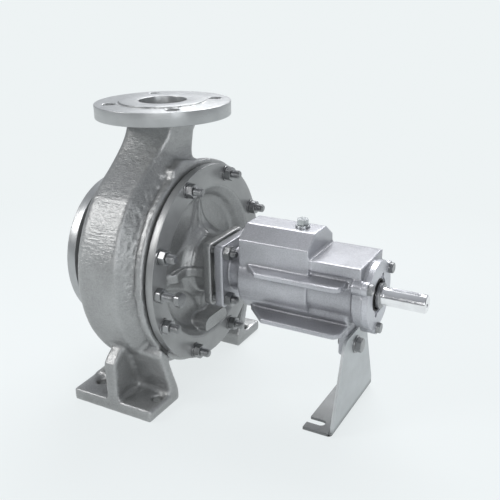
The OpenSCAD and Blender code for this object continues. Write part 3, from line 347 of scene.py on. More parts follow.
def placed(name, mesh, look, body=STATIONARY, nodes=(), sharp=35.0):
    """Puts a mesh into the scene as a piece that rides on a body and stands for CAD nodes."""
    mesh.validate()
    shaded(mesh, sharp)
    obj = linked(name, mesh)
    dress(obj, look)
    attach(obj, body)
    if nodes:
        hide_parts(*nodes)
    return obj


def baked(obj):
    """The mesh of an object with its modifiers applied; the object itself goes."""
    graph = bpy.context.evaluated_depsgraph_get()
    mesh = bpy.data.meshes.new_from_object(obj.evaluated_get(graph))
    bpy.data.objects.remove(obj)
    return mesh


def welded(node):
    """Plain copy of a CAD node's mesh with its doubles merged."""
    doubles = 2e-6
    bm = bmesh.new()
    bm.from_mesh(frame["nodes"][node].data)
    bmesh.ops.remove_doubles(bm, verts=bm.verts, dist=doubles)
    bm.verts.index_update()
    mesh = mesh_of(node + "_copy", [v.co[:] for v in bm.verts], [[v.index for v in f.verts] for f in bm.faces])
    bm.free()
    return mesh


def outward(mesh):
    """Turns a closed mesh's faces outwards."""
    bm = bmesh.new()
    bm.from_mesh(mesh)
    bmesh.ops.recalc_face_normals(bm, faces=bm.faces)
    bm.to_mesh(mesh)
    bm.free()
    return mesh


def subtracted(mesh, cutter_mesh, crosses_itself=False):
    """A mesh less a closed cutter."""
    block, cutter = linked("block", mesh), linked("cutter", cutter_mesh)
    cut = block.modifiers.new("cut", "BOOLEAN")
    cut.operation, cut.solver, cut.object = "DIFFERENCE", "EXACT", cutter
    cut.use_self = crosses_itself
    result = baked(block)
    bpy.data.objects.remove(cutter)
    if len(result.polygons) < len(mesh.polygons) // 2:
        raise RuntimeError("the cut failed: " + mesh.name)
    return result


def cut_by(obj, points, faces):
    """Takes a closed cutter, given as points and faces, out of a piece."""
    look = obj.data.materials[0]
    obj.data = subtracted(obj.data, outward(mesh_of("cutter", points, faces)))
    obj.data.materials.clear()
    obj.data.materials.append(look)
    shaded(obj.data, 35.0)


def grid_faces(rows, cols, wrap_rows=False, start=0):
    """Quads of a grid whose columns run round and close on themselves."""
    i, j = np.meshgrid(np.arange(rows if wrap_rows else rows - 1), np.arange(cols), indexing="ij")
    i, j = i.ravel(), j.ravel()
    k, m = (i + 1) % rows, (j + 1) % cols
    return (start + np.stack((i * cols + j, i * cols + m, k * cols + m, k * cols + j), axis=1)).tolist()


def capped_faces(rows, cols, start=0):
    """Quads of a grid as above, with its first and last row closed by one face each."""
    first, last = start + np.arange(cols), start + (rows - 1) * cols + np.arange(cols)
    return grid_faces(rows, cols, start=start) + [first[::-1].tolist(), last.tolist()]


def lathed(axis, profile, cols):
    """Closed loop of (radius, place) points in mm, carried once round the shaft ("x") or the discharge axis
    ("z"): P(i, a) = axis + r_i, turned by a."""
    p = np.asarray(profile, float) / 1000.0
    r, along = p[:, :1], p[:, 1:]
    a = (np.arange(cols) * 2 * np.pi / cols)[None, :]
    if axis == "x":
        parts = (along, -r * np.sin(a), AXIS_Z + r * np.cos(a))
    else:
        parts = (r * np.cos(a), r * np.sin(a), along)
    points = np.stack(np.broadcast_arrays(*parts), axis=-1).reshape(-1, 3)
    return points, grid_faces(len(p), cols, wrap_rows=True)


def rounded_loop(corners, radius, steps=3):
    """Loop of corners, each cut back by the radius and joined by a short quadratic arc."""
    c = np.asarray(corners, float)
    before, after = np.roll(c, 1, axis=0) - c, np.roll(c, -1, axis=0) - c
    size_b, size_a = np.linalg.norm(before, axis=1), np.linalg.norm(after, axis=1)
    cut = np.minimum(radius, 0.4 * np.minimum(size_b, size_a))[:, None]
    p, q = c + before / size_b[:, None] * cut, c + after / size_a[:, None] * cut
    t = np.linspace(0.0, 1.0, steps + 1)[None, :, None]
    return (p[:, None] * (1 - t) ** 2 + 2 * c[:, None] * t * (1 - t) + q[:, None] * t ** 2).reshape(-1, 2)


def ring(name, axis, corners, look):
    """Turned ring with rounded edges, from a loop of (radius, place) corners in mm."""
    edge_r, cols = 0.9, 144
    points, faces = lathed(axis, rounded_loop(corners, edge_r), cols)
    obj = placed(name, mesh_of(name, points, faces), look)
    outward(obj.data)
    return obj


def drilled(obj, axis, circle_r, count, start, hole_r, low, high):
    """Cuts round holes with countersunk mouths on a circle through a piece; sizes in mm, angles in degrees."""
    edge, past, cols = 0.7, 3.0, 32
    loop = np.array([(hole_r + edge + past, low - past), (hole_r, low + edge), (hole_r, high - edge),
                     (hole_r + edge + past, high + past)])
    a = np.arange(cols) * 2 * np.pi / cols
    r, h = loop[:, :1], loop[:, 1:]
    along, side = circle_r + r * np.cos(a), r * np.sin(a)
    cutters, faces = [], []
    for k in range(count):
        t = np.radians(start + 360.0 / count * k)
        if axis == "x":
            parts = (h, -(along * np.sin(t) + side * np.cos(t)), AXIS_MM + along * np.cos(t) - side * np.sin(t))
        else:
            parts = (along * np.cos(t) - side * np.sin(t), along * np.sin(t) + side * np.cos(t), h)
        cutters.append(np.stack(np.broadcast_arrays(*parts), axis=-1).reshape(-1, 3) / 1000.0)
        faces += capped_faces(len(loop), cols, start=k * len(loop) * cols)
    cut_by(obj, np.concatenate(cutters), faces)


def waves(p, size, count, seed):
    """Sum of plane waves of about one size in seeded directions, scaled to about -1 to 1."""
    rng = np.random.default_rng(seed)
    k = rng.normal(size=(count, 3))
    k *= (2 * np.pi / size * rng.uniform(0.6, 1.5, (count, 1))) / np.linalg.norm(k, axis=1, keepdims=True)
    return np.sin(p @ k.T + rng.uniform(0, 2 * np.pi, count)).sum(axis=1) / np.sqrt(count)


# Limits of the casing's skin under its machined rings, in metres; places count outwards along the flange's axis
DISCHARGE_SEAT = dict(start=0.3840, face_r=0.0600, face_top=0.4040, rim_low=0.3858, rim_top=0.4018, rim_r=0.0917,
                      bore_start=0.378, bore_reach=0.040, bore_r=0.0335)
SUCTION_SEAT = dict(start=0.0862, face_r=0.079, face_top=0.1020, rim_low=0.0878, rim_top=0.1000, rim_r=0.1092,
                    bore_start=0.0862, bore_reach=0.058, bore_r=0.0510)
# The whole suction flange lies below this height, in metres
SUCTION_BELOW = 0.320


def set_back(out, r, near, start, face_r, face_top, rim_low, rim_top, rim_r, bore_start, bore_reach, bore_r):
    """New places along a flange's axis and factors for the radius, so that the skin's raised face, rim and bore
    stay inside the ring that lies on them."""
    flange = near & (out > start)
    face, safe_r = r < face_r, np.maximum(r, 1e-6)
    place = np.where(flange & face, np.minimum(out, face_top), out)
    place = np.where(flange & ~face, np.clip(out, rim_low, rim_top), place)
    bore = near & (out > bore_start) & (r < bore_reach)
    grow = np.where(bore, np.maximum(r, bore_r) / safe_r, 1.0)
    return place, np.where(flange & (r > face_r), np.minimum(r, rim_r) / safe_r, grow)


def undercut(p, r):
    """How far the neck's near face moves in just below the discharge flange: a level band that fades at its ends."""
    middle, half_h, half_w, fade, depth = 0.3830, 0.0035, 0.041, 0.010, 0.0045
    front, reach = -0.022, 0.056
    band = np.clip(1.3 - np.abs(p[:, 2] - middle) / half_h, 0.0, 1.0)
    band *= np.clip((half_w - np.abs(p[:, 0])) / fade, 0.0, 1.0)
    return np.where((p[:, 1] < front) & (r < reach), depth * band, 0.0)


def machined_seat(p, node):
    """Moves the skin back under the machined rings that lie on it, and keeps it inside the CAD box."""
    if node == "volute_casing":
        r = np.hypot(p[:, 0], p[:, 1])
        p[:, 2], grow = set_back(p[:, 2], r, True, **DISCHARGE_SEAT)
        p[:, :2] *= grow[:, None]
        p[:, 1] += undercut(p, r)
        y, z = p[:, 1], p[:, 2] - AXIS_Z
        place, grow = set_back(-p[:, 0], np.hypot(y, z), p[:, 2] < SUCTION_BELOW, **SUCTION_SEAT)
        p[:, 0], p[:, 1], p[:, 2] = -place, y * grow, AXIS_Z + z * grow
    if node == "casing_cover":
        top, bottom, half_w, face = 0.074, 0.101, 0.034, 0.0735
        boss = (p[:, 2] < AXIS_Z - top) & (p[:, 2] > AXIS_Z - bottom) & (np.abs(p[:, 1]) < half_w)
        p[:, 0] = np.where(boss, np.minimum(p[:, 0], face), p[:, 0])
    low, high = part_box(node)
    return np.clip(p, np.array(low), np.array(high))


def rim_dents(p):
    """Coarser dents on the casing's edge round the joint: plane waves that fade with the radius, with the place
    along the shaft and towards the feet."""
    inner_r, outer_r, middle_x, half_x, above = 0.128, 0.157, 0.036, 0.018, 0.150
    away = np.hypot(p[:, 1], p[:, 2] - AXIS_Z)
    rim = np.clip((away - inner_r) / 0.012, 0, 1) * np.clip(1 - np.abs(p[:, 0] - middle_x) / half_x, 0, 1)
    rim *= np.clip((p[:, 2] - above) / 0.03, 0, 1) * np.clip((outer_r - away) / 0.006, 0, 1)
    return 2.8 * rim * waves(p, 0.009, 16, 7)


def lofted(loops):
    """Closed solid through equal loops of (x, y, z) points in mm, capped by its first and last loop."""
    p = np.asarray(loops, float) / 1000.0
    return outward(mesh_of("loft", p.reshape(-1, 3), capped_faces(*p.shape[:2])))


# Slab inside the neck's thin far wall, as a loop of (y, z) in mm between two places along the shaft
FAR_WALL = ((7, 325), (9, 330), (12, 340), (17, 350), (22.5, 360), (28, 370),
            (31.4, 370), (28.4, 360), (24.4, 350), (19.4, 340), (14.6, 330), (11, 325))
FAR_WALL_X = (-24, 20)
# The neck's suction-side wall in mm: height, x of the wall, x and y of the scroll's flank beside it
NECK_WALL = ((270, -57.2, -57.0, -36), (278, -55.3, -55.7, -36), (284, -54.0, -54.7, -36),
             (292, -52.15, -53.4, -36), (300, -50.35, -52.1, -36), (310, -48.1, -50.5, -36),
             (320, -45.9, -48.9, -36), (330, -43.6, -46.9, -36), (340, -41.4, -44.6, -35),
             (350, -40.85, -42.8, -33), (356, -40.7, -41.9, -31), (362, -40.6, -40.6, -29),
             (372, -40.4, -40.0, -26))
# The lip of the scroll beside that wall, in mm: its nearest and farthest y, and an x beyond it
LIP_NEAR, LIP_FAR, LIP_BEYOND = -13, 27, -62
# The neck's far front corner in mm: height, x and y of its shoulder, x and y of its edge
NECK_CORNER = ((318, 24, 22, 38, 11), (324, 25, 19, 39, 9.5), (328, 29, 15, 39.5, 8.5), (334, 29, 15.5, 38.3, 9.5),
               (340, 29, 17, 37, 12), (346, 29, 18, 35.9, 15), (352, 28, 21, 35.9, 16.5))


def neck_cleaned(mesh):
    """The casing's copy without the lip of its scroll beside the neck, and with its fold, its notched corner and
    its thin far wall filled, so that the cast grid can't tear there."""
    lip = [[(x, LIP_NEAR, z), (x, LIP_FAR, z), (LIP_BEYOND, LIP_FAR, z), (LIP_BEYOND, LIP_NEAR, z)]
           for z, x, _, _ in NECK_WALL]
    mesh = subtracted(mesh, lofted(lip), crosses_itself=True)
    over, deep, fold_y, corner_y = 0.1, 5, -8, 2
    fold = [[(x + over, fold_y, z), (x + deep, fold_y, z), (x + deep, y, z), (flank + over, y, z)]
            for z, x, flank, y in NECK_WALL]
    corner = [[(sx, sy, z), (ex, ey, z), (ex, corner_y, z), (sx, corner_y, z)] for z, sx, sy, ex, ey in NECK_CORNER]
    wall = [[(x, y, z) for y, z in FAR_WALL] for x in FAR_WALL_X]
    bm = bmesh.new()
    for part in (mesh, lofted(fold), lofted(corner), lofted(wall)):
        bm.from_mesh(part)
    bm.to_mesh(mesh)
    bm.free()
    return mesh


def skin(name, node, step, rounds, relief, look):
    """Casting skin: the node's copy is cast on a fine grid, its corners and hollows are rounded by smoothing,
    and plane waves move each point along its normal by up to the relief."""
    copy = welded(node)
    if node == "volute_casing":
        copy = neck_cleaned(copy)
    block = linked("block", copy)
    cast = block.modifiers.new("cast", "REMESH")
    cast.mode = "VOXEL"
    cast.voxel_size = step
    cast.adaptivity = 0.0
    soft = block.modifiers.new("soft", "SMOOTH")
    soft.factor = 0.5
    soft.iterations = rounds
    mesh = baked(block)
    p, n = np.empty(len(mesh.vertices) * 3), np.empty(len(mesh.vertices) * 3)
    mesh.vertices.foreach_get("co", p)
    mesh.vertices.foreach_get("normal", n)
    p, n = p.reshape(-1, 3), n.reshape(-1, 3)
    bumps = 0.6 * waves(p, 0.030, 14, 3) + 0.4 * waves(p, 0.011, 18, 5)
    if node == "volute_casing":
        bumps += rim_dents(p)
    p = machined_seat(p + n * (relief * bumps)[:, None], node)
    mesh.vertices.foreach_set("co", p.ravel())
    mesh.update()
    return placed(name, mesh, look, body=body_of(frame["nodes"][node])[0], nodes=(node,), sharp=60.0)


def faired(name, node, look, width):
    """Copy of a node whose round faces are shaded round and whose edges are broken by a small bevel."""
    sharp = 32.0
    obj = placed(name, welded(node), look, body_of(frame["nodes"][node])[0], (node,), sharp)
    edge = obj.modifiers.new("edge", "BEVEL")
    edge.width = width
    edge.segments = 2
    edge.limit_method = "ANGLE"
    edge.angle_limit = np.radians(sharp)
    edge.use_clamp_overlap = True
    edge.harden_normals = True
    return obj


class PUMP_OT_materials(bpy.types.Operator):
    """Makes the materials and puts them on the frame's own nodes"""
    bl_idname = "pump.materials"
    bl_label = "Materials"

    def execute(self, context):
        LOOKS.update(wanted(context.scene.pump_colours))
        for node, obj in frame["nodes"].items():
            if node not in SLOT_OF_NODE:
                raise RuntimeError("node without a slot: " + node)
            dress(obj, LOOK_OF_SLOT[SLOT_OF_NODE[node]])
        return {"FINISHED"}


class PUMP_OT_castings(bpy.types.Operator):
    """Casts the skins of the casing, the cover and the bearing bracket"""
    bl_idname = "pump.castings"
    bl_label = "Castings"

    def execute(self, context):
        s = context.scene.pump_sizes
        skin("casing_skin", "volute_casing", s.casing_grain, rounds=6, relief=0.00017, look="casting")
        skin("cover_skin", "casing_cover", s.cover_grain, rounds=7, relief=0.00014, look="casting")
        skin("bracket_skin", "bearing_bracket", s.bracket_grain, rounds=4, relief=0.00006, look="bracket")
        return {"FINISHED"}


# Sections of the machined rings as (radius, place) in mm, and low and high side of their drilled rims
DISCHARGE_LOW, DISCHARGE_HIGH = 384.7, 403.0
DISCHARGE_RING = ((32.5, 379), (32.5, 405), (59, 405), (59, DISCHARGE_HIGH), (92.7, DISCHARGE_HIGH),
                  (92.7, DISCHARGE_LOW), (38, DISCHARGE_LOW), (36, 379))
SUCTION_LOW, SUCTION_HIGH = -101.0, -86.7
SUCTION_RING = ((50, -84), (50, -103), (78, -103), (78, SUCTION_LOW), (110.2, SUCTION_LOW),
                (110.2, SUCTION_HIGH), (58, SUCTION_HIGH), (56, -84))
COVER_RIM = ((108.8, 64), (110, 67.3), (139.8, 67.3), (139.8, 56.2), (134, 56.2), (112, 62))
FLANGE_HOLE_R = 9.0


class PUMP_OT_flanges(bpy.types.Operator):
    """Turns the machined faces of the discharge flange, the suction flange and the cover's rim"""
    bl_idname = "pump.flanges"
    bl_label = "Machined flanges"

    def execute(self, context):
        top = ring("discharge_flange_face", "z", DISCHARGE_RING, "machined_top")
        drilled(top, "z", 72.5, 4, 45.0, FLANGE_HOLE_R, DISCHARGE_LOW, DISCHARGE_HIGH)
        back = ring("suction_flange_face", "x", SUCTION_RING, "machined")
        drilled(back, "x", 90.0, 8, 22.5, FLANGE_HOLE_R, SUCTION_LOW, SUCTION_HIGH)
        ring("cover_rim_face", "x", COVER_RIM, "casting_rim")
        return {"FINISHED"}


def thread(points_at, r, pitch, start, end):
    """Screw thread: radius = r less a saw tooth of the place along the axis plus the turn, and the last turn
    narrows to a blunt tip. Sizes in mm; points_at carries (radius, place, angle) to space."""
    around, per_turn, depth = 28, 6, 0.55 * pitch
    rows = int((end - start) / pitch * per_turn) + 1
    t = np.linspace(start, end, rows)[:, None]
    a = (np.arange(around) * 2 * np.pi / around)[None, :]
    tooth = np.abs(((t / pitch - a / (2 * np.pi)) % 1.0) * 2 - 1)
    tooth = np.clip(1.25 * tooth - 0.1, 0.0, 1.0)
    tip = np.clip((end - t) / (0.9 * pitch), 0.0, 1.0)
    rad = (r - depth * tooth) * (0.72 + 0.28 * tip)
    rad = np.where(tip < 1.0, np.minimum(rad, r * (0.80 + 0.20 * tip)), rad)
    return points_at(rad, t, a).reshape(-1, 3), capped_faces(rows, around)


def hexagon(points_at, across, start, end, bore, both=True):
    """Nut or head: at each angle the flat lies at across / 2 over the cosine to the nearest flat, and beyond
    0.47 of the width the end faces fall off as a 30 degree cone. A bore of 0 makes a solid head, and only its
    outer face falls off where both is false."""
    around, cone_from, cone_slope = 48, 0.47 * across, 0.577
    a = (np.arange(around) + 0.5) * 2 * np.pi / around
    off = (a + np.pi / 6) % (np.pi / 3) - np.pi / 6
    flat = across / 2 / np.cos(off)
    shares = np.array([0.0, 0.4, 0.72, 0.86, 0.94, 1.0])[:, None]
    inner = max(bore, 0.02)
    r = inner + shares * (flat[None, :] - inner)
    drop = np.clip(r - cone_from, 0.0, None) * cone_slope
    low = start + (drop if both else 0 * drop)
    rad = np.concatenate((r, r[::-1]))
    place = np.concatenate((low, (end - drop)[::-1]))
    return points_at(rad, place, a[None, :]).reshape(-1, 3), grid_faces(len(rad), around, wrap_rows=True)


def disc(points_at, bore, outer, start, end):
    """Washer: a rounded square section carried round its axis."""
    around, edge = 40, 0.35
    loop = rounded_loop([(bore, start), (bore, end), (outer, end), (outer, start)], edge, 2)
    a = np.arange(around) * 2 * np.pi / around
    points = points_at(loop[:, :1], loop[:, 1:], a[None, :]).reshape(-1, 3)
    return points, grid_faces(len(loop), around, wrap_rows=True)


def at_point(y, z, turn):
    """Carrier for fasteners parallel to the shaft with their centre at (y, z) in mm, turned by degrees."""
    def carry(r, along, a):
        b = a + np.radians(turn)
        return np.stack(np.broadcast_arrays(along, y - r * np.sin(b), z + r * np.cos(b)), axis=-1) / 1000.0
    return carry


def at_shaft_circle(circle_r, angle, turn):
    """Carrier as above with the centre on a circle round the shaft, at an angle counted from straight up."""
    t = np.radians(angle)
    return at_point(-circle_r * np.sin(t), AXIS_MM + circle_r * np.cos(t), turn)


def joined(name, parts, look, node):
    """One piece from several (points, faces) parts, which stands for a node."""
    points, faces, base = [], [], 0
    for p, f in parts:
        points.append(p)
        faces += [[k + base for k in q] for q in f]
        base += len(p)
    mesh = outward(mesh_of(name, np.concatenate(points), faces))
    return placed(name, mesh, look, nodes=(node,), sharp=28.0)


# Fasteners in mm: radius, pitch, width across flats, bore of the nut, bore of the washer
M12_R, M12_PITCH, M12_ACROSS, M12_NUT_BORE, M12_WASHER_BORE = 6.0, 1.75, 18.0, 5.4, 6.3
M8_R, M8_PITCH, M8_ACROSS, M8_WASHER_BORE = 4.0, 1.25, 13.0, 3.9
SOLID = 0.0
# The cover's bolting in mm: its face, the stud circle, the washers, the nuts, what stands past a nut, and the gap
# that the casting's skin needs
COVER_FACE, STUD_CIRCLE, WASHER_T, NUT_H, STUD_TAIL, SKIN_GAP = 67.0, 128.0, 2.5, 9.5, 12.0, 0.3
STUD_FROM, FORCING_FROM = 43.2, 54.3


class PUMP_OT_cover_bolting(bpy.types.Operator):
    """Makes the cover's studs, nuts and washers and the two forcing screws"""
    bl_idname = "pump.cover_bolting"
    bl_label = "Cover bolting"

    def execute(self, context):
        studs, nuts, washers = [], [], []
        top = COVER_FACE + WASHER_T
        for k in range(8):
            at = at_shaft_circle(STUD_CIRCLE, 22.5 + 45.0 * k, 11.0 + 37.0 * k)
            studs.append(thread(at, M12_R, M12_PITCH, STUD_FROM, top + NUT_H + STUD_TAIL))
            nuts.append(hexagon(at, M12_ACROSS, top, top + NUT_H, M12_NUT_BORE))
            washers.append(disc(at, M12_WASHER_BORE, 11.0, COVER_FACE + SKIN_GAP, top))
        joined("cover_stud_threads", studs, "zinc_thread", "cover_studs")
        joined("cover_hex_nuts", nuts, "zinc", "cover_nuts")
        joined("cover_flat_washers", washers, "zinc", "cover_washers")
        screws, locks = [], []
        for k in range(2):
            at = at_shaft_circle(STUD_CIRCLE, 90.0 + 180.0 * k, 20.0 + 25.0 * k)
            screws.append(thread(at, M12_R, M12_PITCH, FORCING_FROM, COVER_FACE + 31))
            screws.append(hexagon(at, M12_ACROSS, COVER_FACE + 30, COVER_FACE + 38, SOLID))
            locks.append(hexagon(at, M12_ACROSS, COVER_FACE + SKIN_GAP, COVER_FACE + NUT_H, M12_NUT_BORE))
        joined("forcing_screw_threads", screws, "zinc", "forcing_screws")
        joined("forcing_lock_nuts", locks, "zinc", "forcing_screw_nuts")
        return {"FINISHED"}


# Places of the bracket's fasteners in mm: half the square of its studs, circle of the bearing cover's screws, and
# depth of the foot's bolt below the shaft
STUD_SQUARE, SCREW_CIRCLE, FOOT_BOLT_DOWN = 34.0, 46.0, 77.0


class PUMP_OT_bracket_bolting(bpy.types.Operator):
    """Makes the bracket's studs and nuts, the bearing cover's screws and the foot's bolt and washer"""
    bl_idname = "pump.bracket_bolting"
    bl_label = "Bracket bolting"

    def execute(self, context):
        studs, nuts = [], []
        for k, (sy, sz) in enumerate(((-1, -1), (-1, 1), (1, -1), (1, 1))):
            at = at_point(STUD_SQUARE * sy, AXIS_MM + STUD_SQUARE * sz, 17.0 + 33.0 * k)
            studs.append(thread(at, M12_R, M12_PITCH, 83.5, 130.5))
            nuts.append(hexagon(at, M12_ACROSS, 114.0, 123.5, M12_NUT_BORE))
        joined("bracket_stud_threads", studs, "zinc_thread", "bracket_studs")
        joined("bracket_hex_nuts", nuts, "zinc", "bracket_nuts")
        screws = []
        for k in range(3):
            at = at_shaft_circle(SCREW_CIRCLE, 60.0 + 120.0 * k, 25.0 * k)
            screws.append(thread(at, M8_R, M8_PITCH, 300.0, 319.0))
            screws.append(hexagon(at, M8_ACROSS, 318.0, 323.3, SOLID, both=False))
            screws.append(disc(at, M8_WASHER_BORE, 7.4, 318.0, 319.0))
        joined("bearing_cover_hex_screws", screws, "zinc", "bearing_cover_screws")
        at = at_point(0.0, AXIS_MM - FOOT_BOLT_DOWN, 14.0)
        bolt = [thread(at, M12_R, M12_PITCH, 266.5, 293.0), hexagon(at, M12_ACROSS, 292.5, 300.0, SOLID, both=False)]
        joined("foot_bolt_head", bolt, "zinc", "support_foot_bolt")
        joined("foot_flat_washer", [disc(at, M12_WASHER_BORE, 12.0, 290.0, 292.5)], "zinc", "support_foot_washer")
        return {"FINISHED"}


# Pieces that keep their solid's shape: name, node, look, width of the broken edges in metres
FAIRED = (
    ("bearing_cover_body", "bearing_cover", "bracket", 0.0009),
    ("support_sheet", "support_foot", "sheet", 0.0004),
    ("seal_cover_body", "seal_cover", "casting", 0.0005),
    ("filler_hex_plug", "filler_plug", "bright", 0.0005),
    ("filler_plug_ring", "filler_plug_washer", "bright", 0.0004),
    ("drain_socket_plug", "drain_plug", "zinc", 0.0003),
    ("deflector_body", "deflector_ring", "zinc", 0.0003),
    ("gasket_sheet", "cover_gasket", "carbon", 0.0002),
    ("sleeve_body", "shaft_sleeve", "steel", 0.0003),
    ("impeller_body", "impeller", "iron", 0.0005),
    ("cover_seal_body", "cover_oil_seal", "rubber", 0.0002),
)
# The shaft's section as (radius, place) in mm, with a centre hole in its drive end
SHAFT_SECTION = (
    (0.05, -37.5), (7, -37.5), (8, -36.5), (8, -25), (11, -25), (11, 109), (12.2, 109), (12.2, 139.5),
    (12.47, 139.5), (12.47, 160.5), (15, 160.5), (15, 291), (12.47, 291), (12.47, 312), (12.2, 312), (12.2, 327),
    (12, 327.3), (12, 378.6), (10.6, 380), (4.2, 380), (1.6, 377), (0.05, 375.5),
)
# Key seat in mm: half its width, the centres of its round ends, its floor, and how far the cutter reaches up
KEY_HALF, KEY_FROM, KEY_TO, KEY_FLOOR, KEY_RISE = 4.0, 334, 370, 188.0, 8


class PUMP_OT_shaft(bpy.types.Operator):
    """Turns the shaft and mills the key seat into its end"""
    bl_idname = "pump.shaft"
    bl_label = "Shaft"

    def execute(self, context):
        points, faces = lathed("x", rounded_loop(SHAFT_SECTION, 0.25, 2), 96)
        obj = placed("shaft_turned", mesh_of("shaft_turned", points, faces), "steel", ROTOR, ("shaft",))
        outward(obj.data)
        t = np.linspace(-np.pi / 2, np.pi / 2, 13)
        x = np.concatenate((KEY_TO + KEY_HALF * np.cos(t), KEY_FROM - KEY_HALF * np.cos(t)))
        y = np.concatenate((KEY_HALF * np.sin(t), -KEY_HALF * np.sin(t)))
        low = np.stack((x, y, np.full_like(x, KEY_FLOOR)), axis=1)
        high = low + (0, 0, KEY_RISE)
        n = len(x)
        side = [(k, (k + 1) % n, n + (k + 1) % n, n + k) for k in range(n)]
        ends = [list(range(n))[::-1], list(range(n, 2 * n))]
        cut_by(obj, np.concatenate((low, high)) / 1000.0, ends + side)
        return {"FINISHED"}


class PUMP_OT_fairing(bpy.types.Operator):
    """Breaks the edges of the sheet foot, the bearing cover and the small turned parts"""
    bl_idname = "pump.fairing"
    bl_label = "Broken edges"

    def execute(self, context):
        for name, node, look, width in FAIRED:
            faired(name, node, look, width)
        return {"FINISHED"}


CAMERA_AT = (0.57354, -0.79338, 0.55759)
AZIMUTH, ELEVATION, ROLL = 29.1, 21.0, -0.9
LENS, SENSOR = 51.07, 36.0
# Lamps: name, place, width and height in metres, power in watts, colour; all look at one point
LAMP_TARGET = (0.1, 0.0, 0.2)
LAMPS = (
    ("key", (-1.3, -1.3, 1.5), (0.8, 1.0), 21.0, (1.0, 0.99, 0.98)),
    ("side", (1.9, -1.2, 0.9), (0.5, 1.0), 10.0, (0.96, 0.98, 1.0)),
    ("top", (-0.2, 1.2, 1.7), (1.4, 0.9), 34.0, (1.0, 1.0, 1.0)),
    ("front", (0.9, -2.0, 1.0), (1.0, 0.7), 9.0, (1.0, 1.0, 1.0)),
)
FLOOR_HALF = 9.0
FLOOR_COLOUR, SKY_COLOUR = (0.80, 0.83, 0.84), (0.90, 0.94, 1.0)
# Strength of the sky: everywhere, and what is added towards the top, the left and the rear
SKY_BASE, SKY_TOP, SKY_LEFT, SKY_REAR = 0.16, 0.26, 0.14, 0.42


def camera_turn():
    """Turn of the camera from its azimuth, elevation and roll: right, up and back as columns."""
    a, e, r = np.radians((AZIMUTH, ELEVATION, ROLL))
    right = np.array((np.cos(a), np.sin(a), 0.0))
    back = np.array((np.sin(a) * np.cos(e), -np.cos(a) * np.cos(e), np.sin(e)))
    up = np.cross(back, right)
    return np.stack((np.cos(r) * right + np.sin(r) * up, np.cos(r) * up - np.sin(r) * right, back), axis=1)


def lamp_turn(at):
    """Turn of a lamp at a place so that it looks at the target: right, up and back as columns."""
    back = np.array(at) - np.array(LAMP_TARGET)
    back /= np.linalg.norm(back)
    right = np.cross((0.0, 0.0, 1.0), back)
    right /= np.linalg.norm(right)
    return np.stack((right, np.cross(back, right), back), axis=1)


def stand(obj, at, turn):
    """Puts a camera or lamp at a place, with its axes in the turn's columns."""
    obj.matrix_world = Matrix.Translation(at) @ Matrix(turn.tolist()).to_4x4()


def floor_made(pale):
    """Pale floor that takes the shadows, shown to the camera and in reflections at the backdrop's own tone."""
    s = FLOOR_HALF
    floor = linked("floor", mesh_of("floor", [(-s, -s, 0), (s, -s, 0), (s, s, 0), (-s, s, 0)], [(0, 1, 2, 3)]))
    n = Nodes("floor")
    path = n.tree.nodes.new("ShaderNodeLightPath")
    seen = n.math("MAXIMUM", path.outputs["Is Camera Ray"], path.outputs["Is Glossy Ray"])
    fade = n.spread(n.size_of(n.place), 0.84, 1.0, start=0.3, end=1.0)
    n.feed(n.shader.inputs["Base Color"], FLOOR_COLOUR)
    n.feed(n.shader.inputs["Roughness"], 0.95)
    n.shown(n.math("MULTIPLY", seen, fade), n.node("ShaderNodeEmission", Color=pale, Strength=1.0),
            "Material Output")
    floor.data.materials.append(n.mat)


def sky_made(scene, pale):
    """World that lights the pump softly, more from the top and the rear, and shows the camera the backdrop."""
    n = Nodes("studio", world=True)
    scene.world = n.mat
    side = n.node("ShaderNodeSeparateXYZ", Vector=n.place)
    top = n.math("MULTIPLY", n.math("MAXIMUM", side.outputs["Z"], 0.0), SKY_TOP)
    left = n.math("MULTIPLY", n.math("MAXIMUM", n.math("MULTIPLY", side.outputs["X"], -1.0), 0.0), SKY_LEFT)
    rear = n.math("MULTIPLY", n.math("MAXIMUM", side.outputs["Y"], 0.0), SKY_REAR)
    n.feed(n.shader.inputs["Color"], SKY_COLOUR)
    n.feed(n.shader.inputs["Strength"], n.math("ADD", n.math("ADD", n.math("ADD", top, left), rear), SKY_BASE))
    path = n.tree.nodes.new("ShaderNodeLightPath")
    n.shown(path.outputs["Is Camera Ray"], n.node("ShaderNodeBackground", Color=pale, Strength=1.0), "World Output")


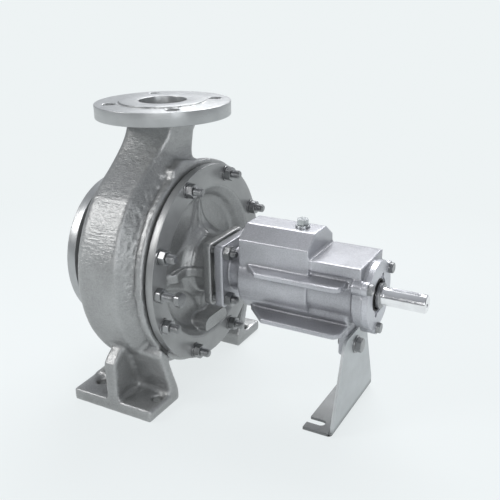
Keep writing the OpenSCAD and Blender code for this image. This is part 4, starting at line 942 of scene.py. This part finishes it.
class PUMP_OT_studio(bpy.types.Operator):
    """Makes the floor, the lamps, the world and the camera"""
    bl_idname = "pump.studio"
    bl_label = "Studio"

    def execute(self, context):
        scene = context.scene
        pale = tuple(scene.pump_colours.backdrop)
        cam = linked("camera", bpy.data.cameras.new("camera"))
        stand(cam, CAMERA_AT, camera_turn())
        cam.data.lens, cam.data.sensor_width = LENS, SENSOR
        cam.data.clip_start, cam.data.clip_end = 0.01, 30.0
        scene.camera = cam
        floor_made(pale)
        sky_made(scene, pale)
        for name, at, size, power, tone in LAMPS:
            lamp = bpy.data.lights.new(name, "AREA")
            lamp.shape = "RECTANGLE"
            lamp.size, lamp.size_y = size
            lamp.energy, lamp.color = power, tone
            stand(linked(name, lamp), at, lamp_turn(at))
        scene.view_settings.view_transform = "Standard"
        return {"FINISHED"}


class PUMP_PT_panel(bpy.types.Panel):
    """Lists the pump's pieces and settings"""
    bl_idname = "PUMP_PT_panel"
    bl_label = "Hot-oil pump"
    bl_space_type = "VIEW_3D"
    bl_region_type = "UI"
    bl_category = "Pump"

    def draw(self, context):
        for group in (context.scene.pump_sizes, context.scene.pump_colours):
            for key in group.__annotations__:
                self.layout.prop(group, key)
        for step in STEPS:
            self.layout.operator(step.bl_idname)


STEPS = (PUMP_OT_materials, PUMP_OT_castings, PUMP_OT_flanges, PUMP_OT_cover_bolting, PUMP_OT_bracket_bolting,
         PUMP_OT_shaft, PUMP_OT_fairing, PUMP_OT_studio)
CLASSES = (PUMP_PG_sizes, PUMP_PG_colours, *STEPS, PUMP_PT_panel)


def register():
    for cls in CLASSES:
        bpy.utils.register_class(cls)
    bpy.types.Scene.pump_sizes = bpy.props.PointerProperty(type=PUMP_PG_sizes)
    bpy.types.Scene.pump_colours = bpy.props.PointerProperty(type=PUMP_PG_colours)


def unregister():
    del bpy.types.Scene.pump_sizes
    del bpy.types.Scene.pump_colours
    for cls in reversed(CLASSES):
        bpy.utils.unregister_class(cls)


def main():
    register()
    for step in STEPS:
        group, call = step.bl_idname.split(".")
        getattr(getattr(bpy.ops, group), call)()


if __name__ == "__main__":
    main()
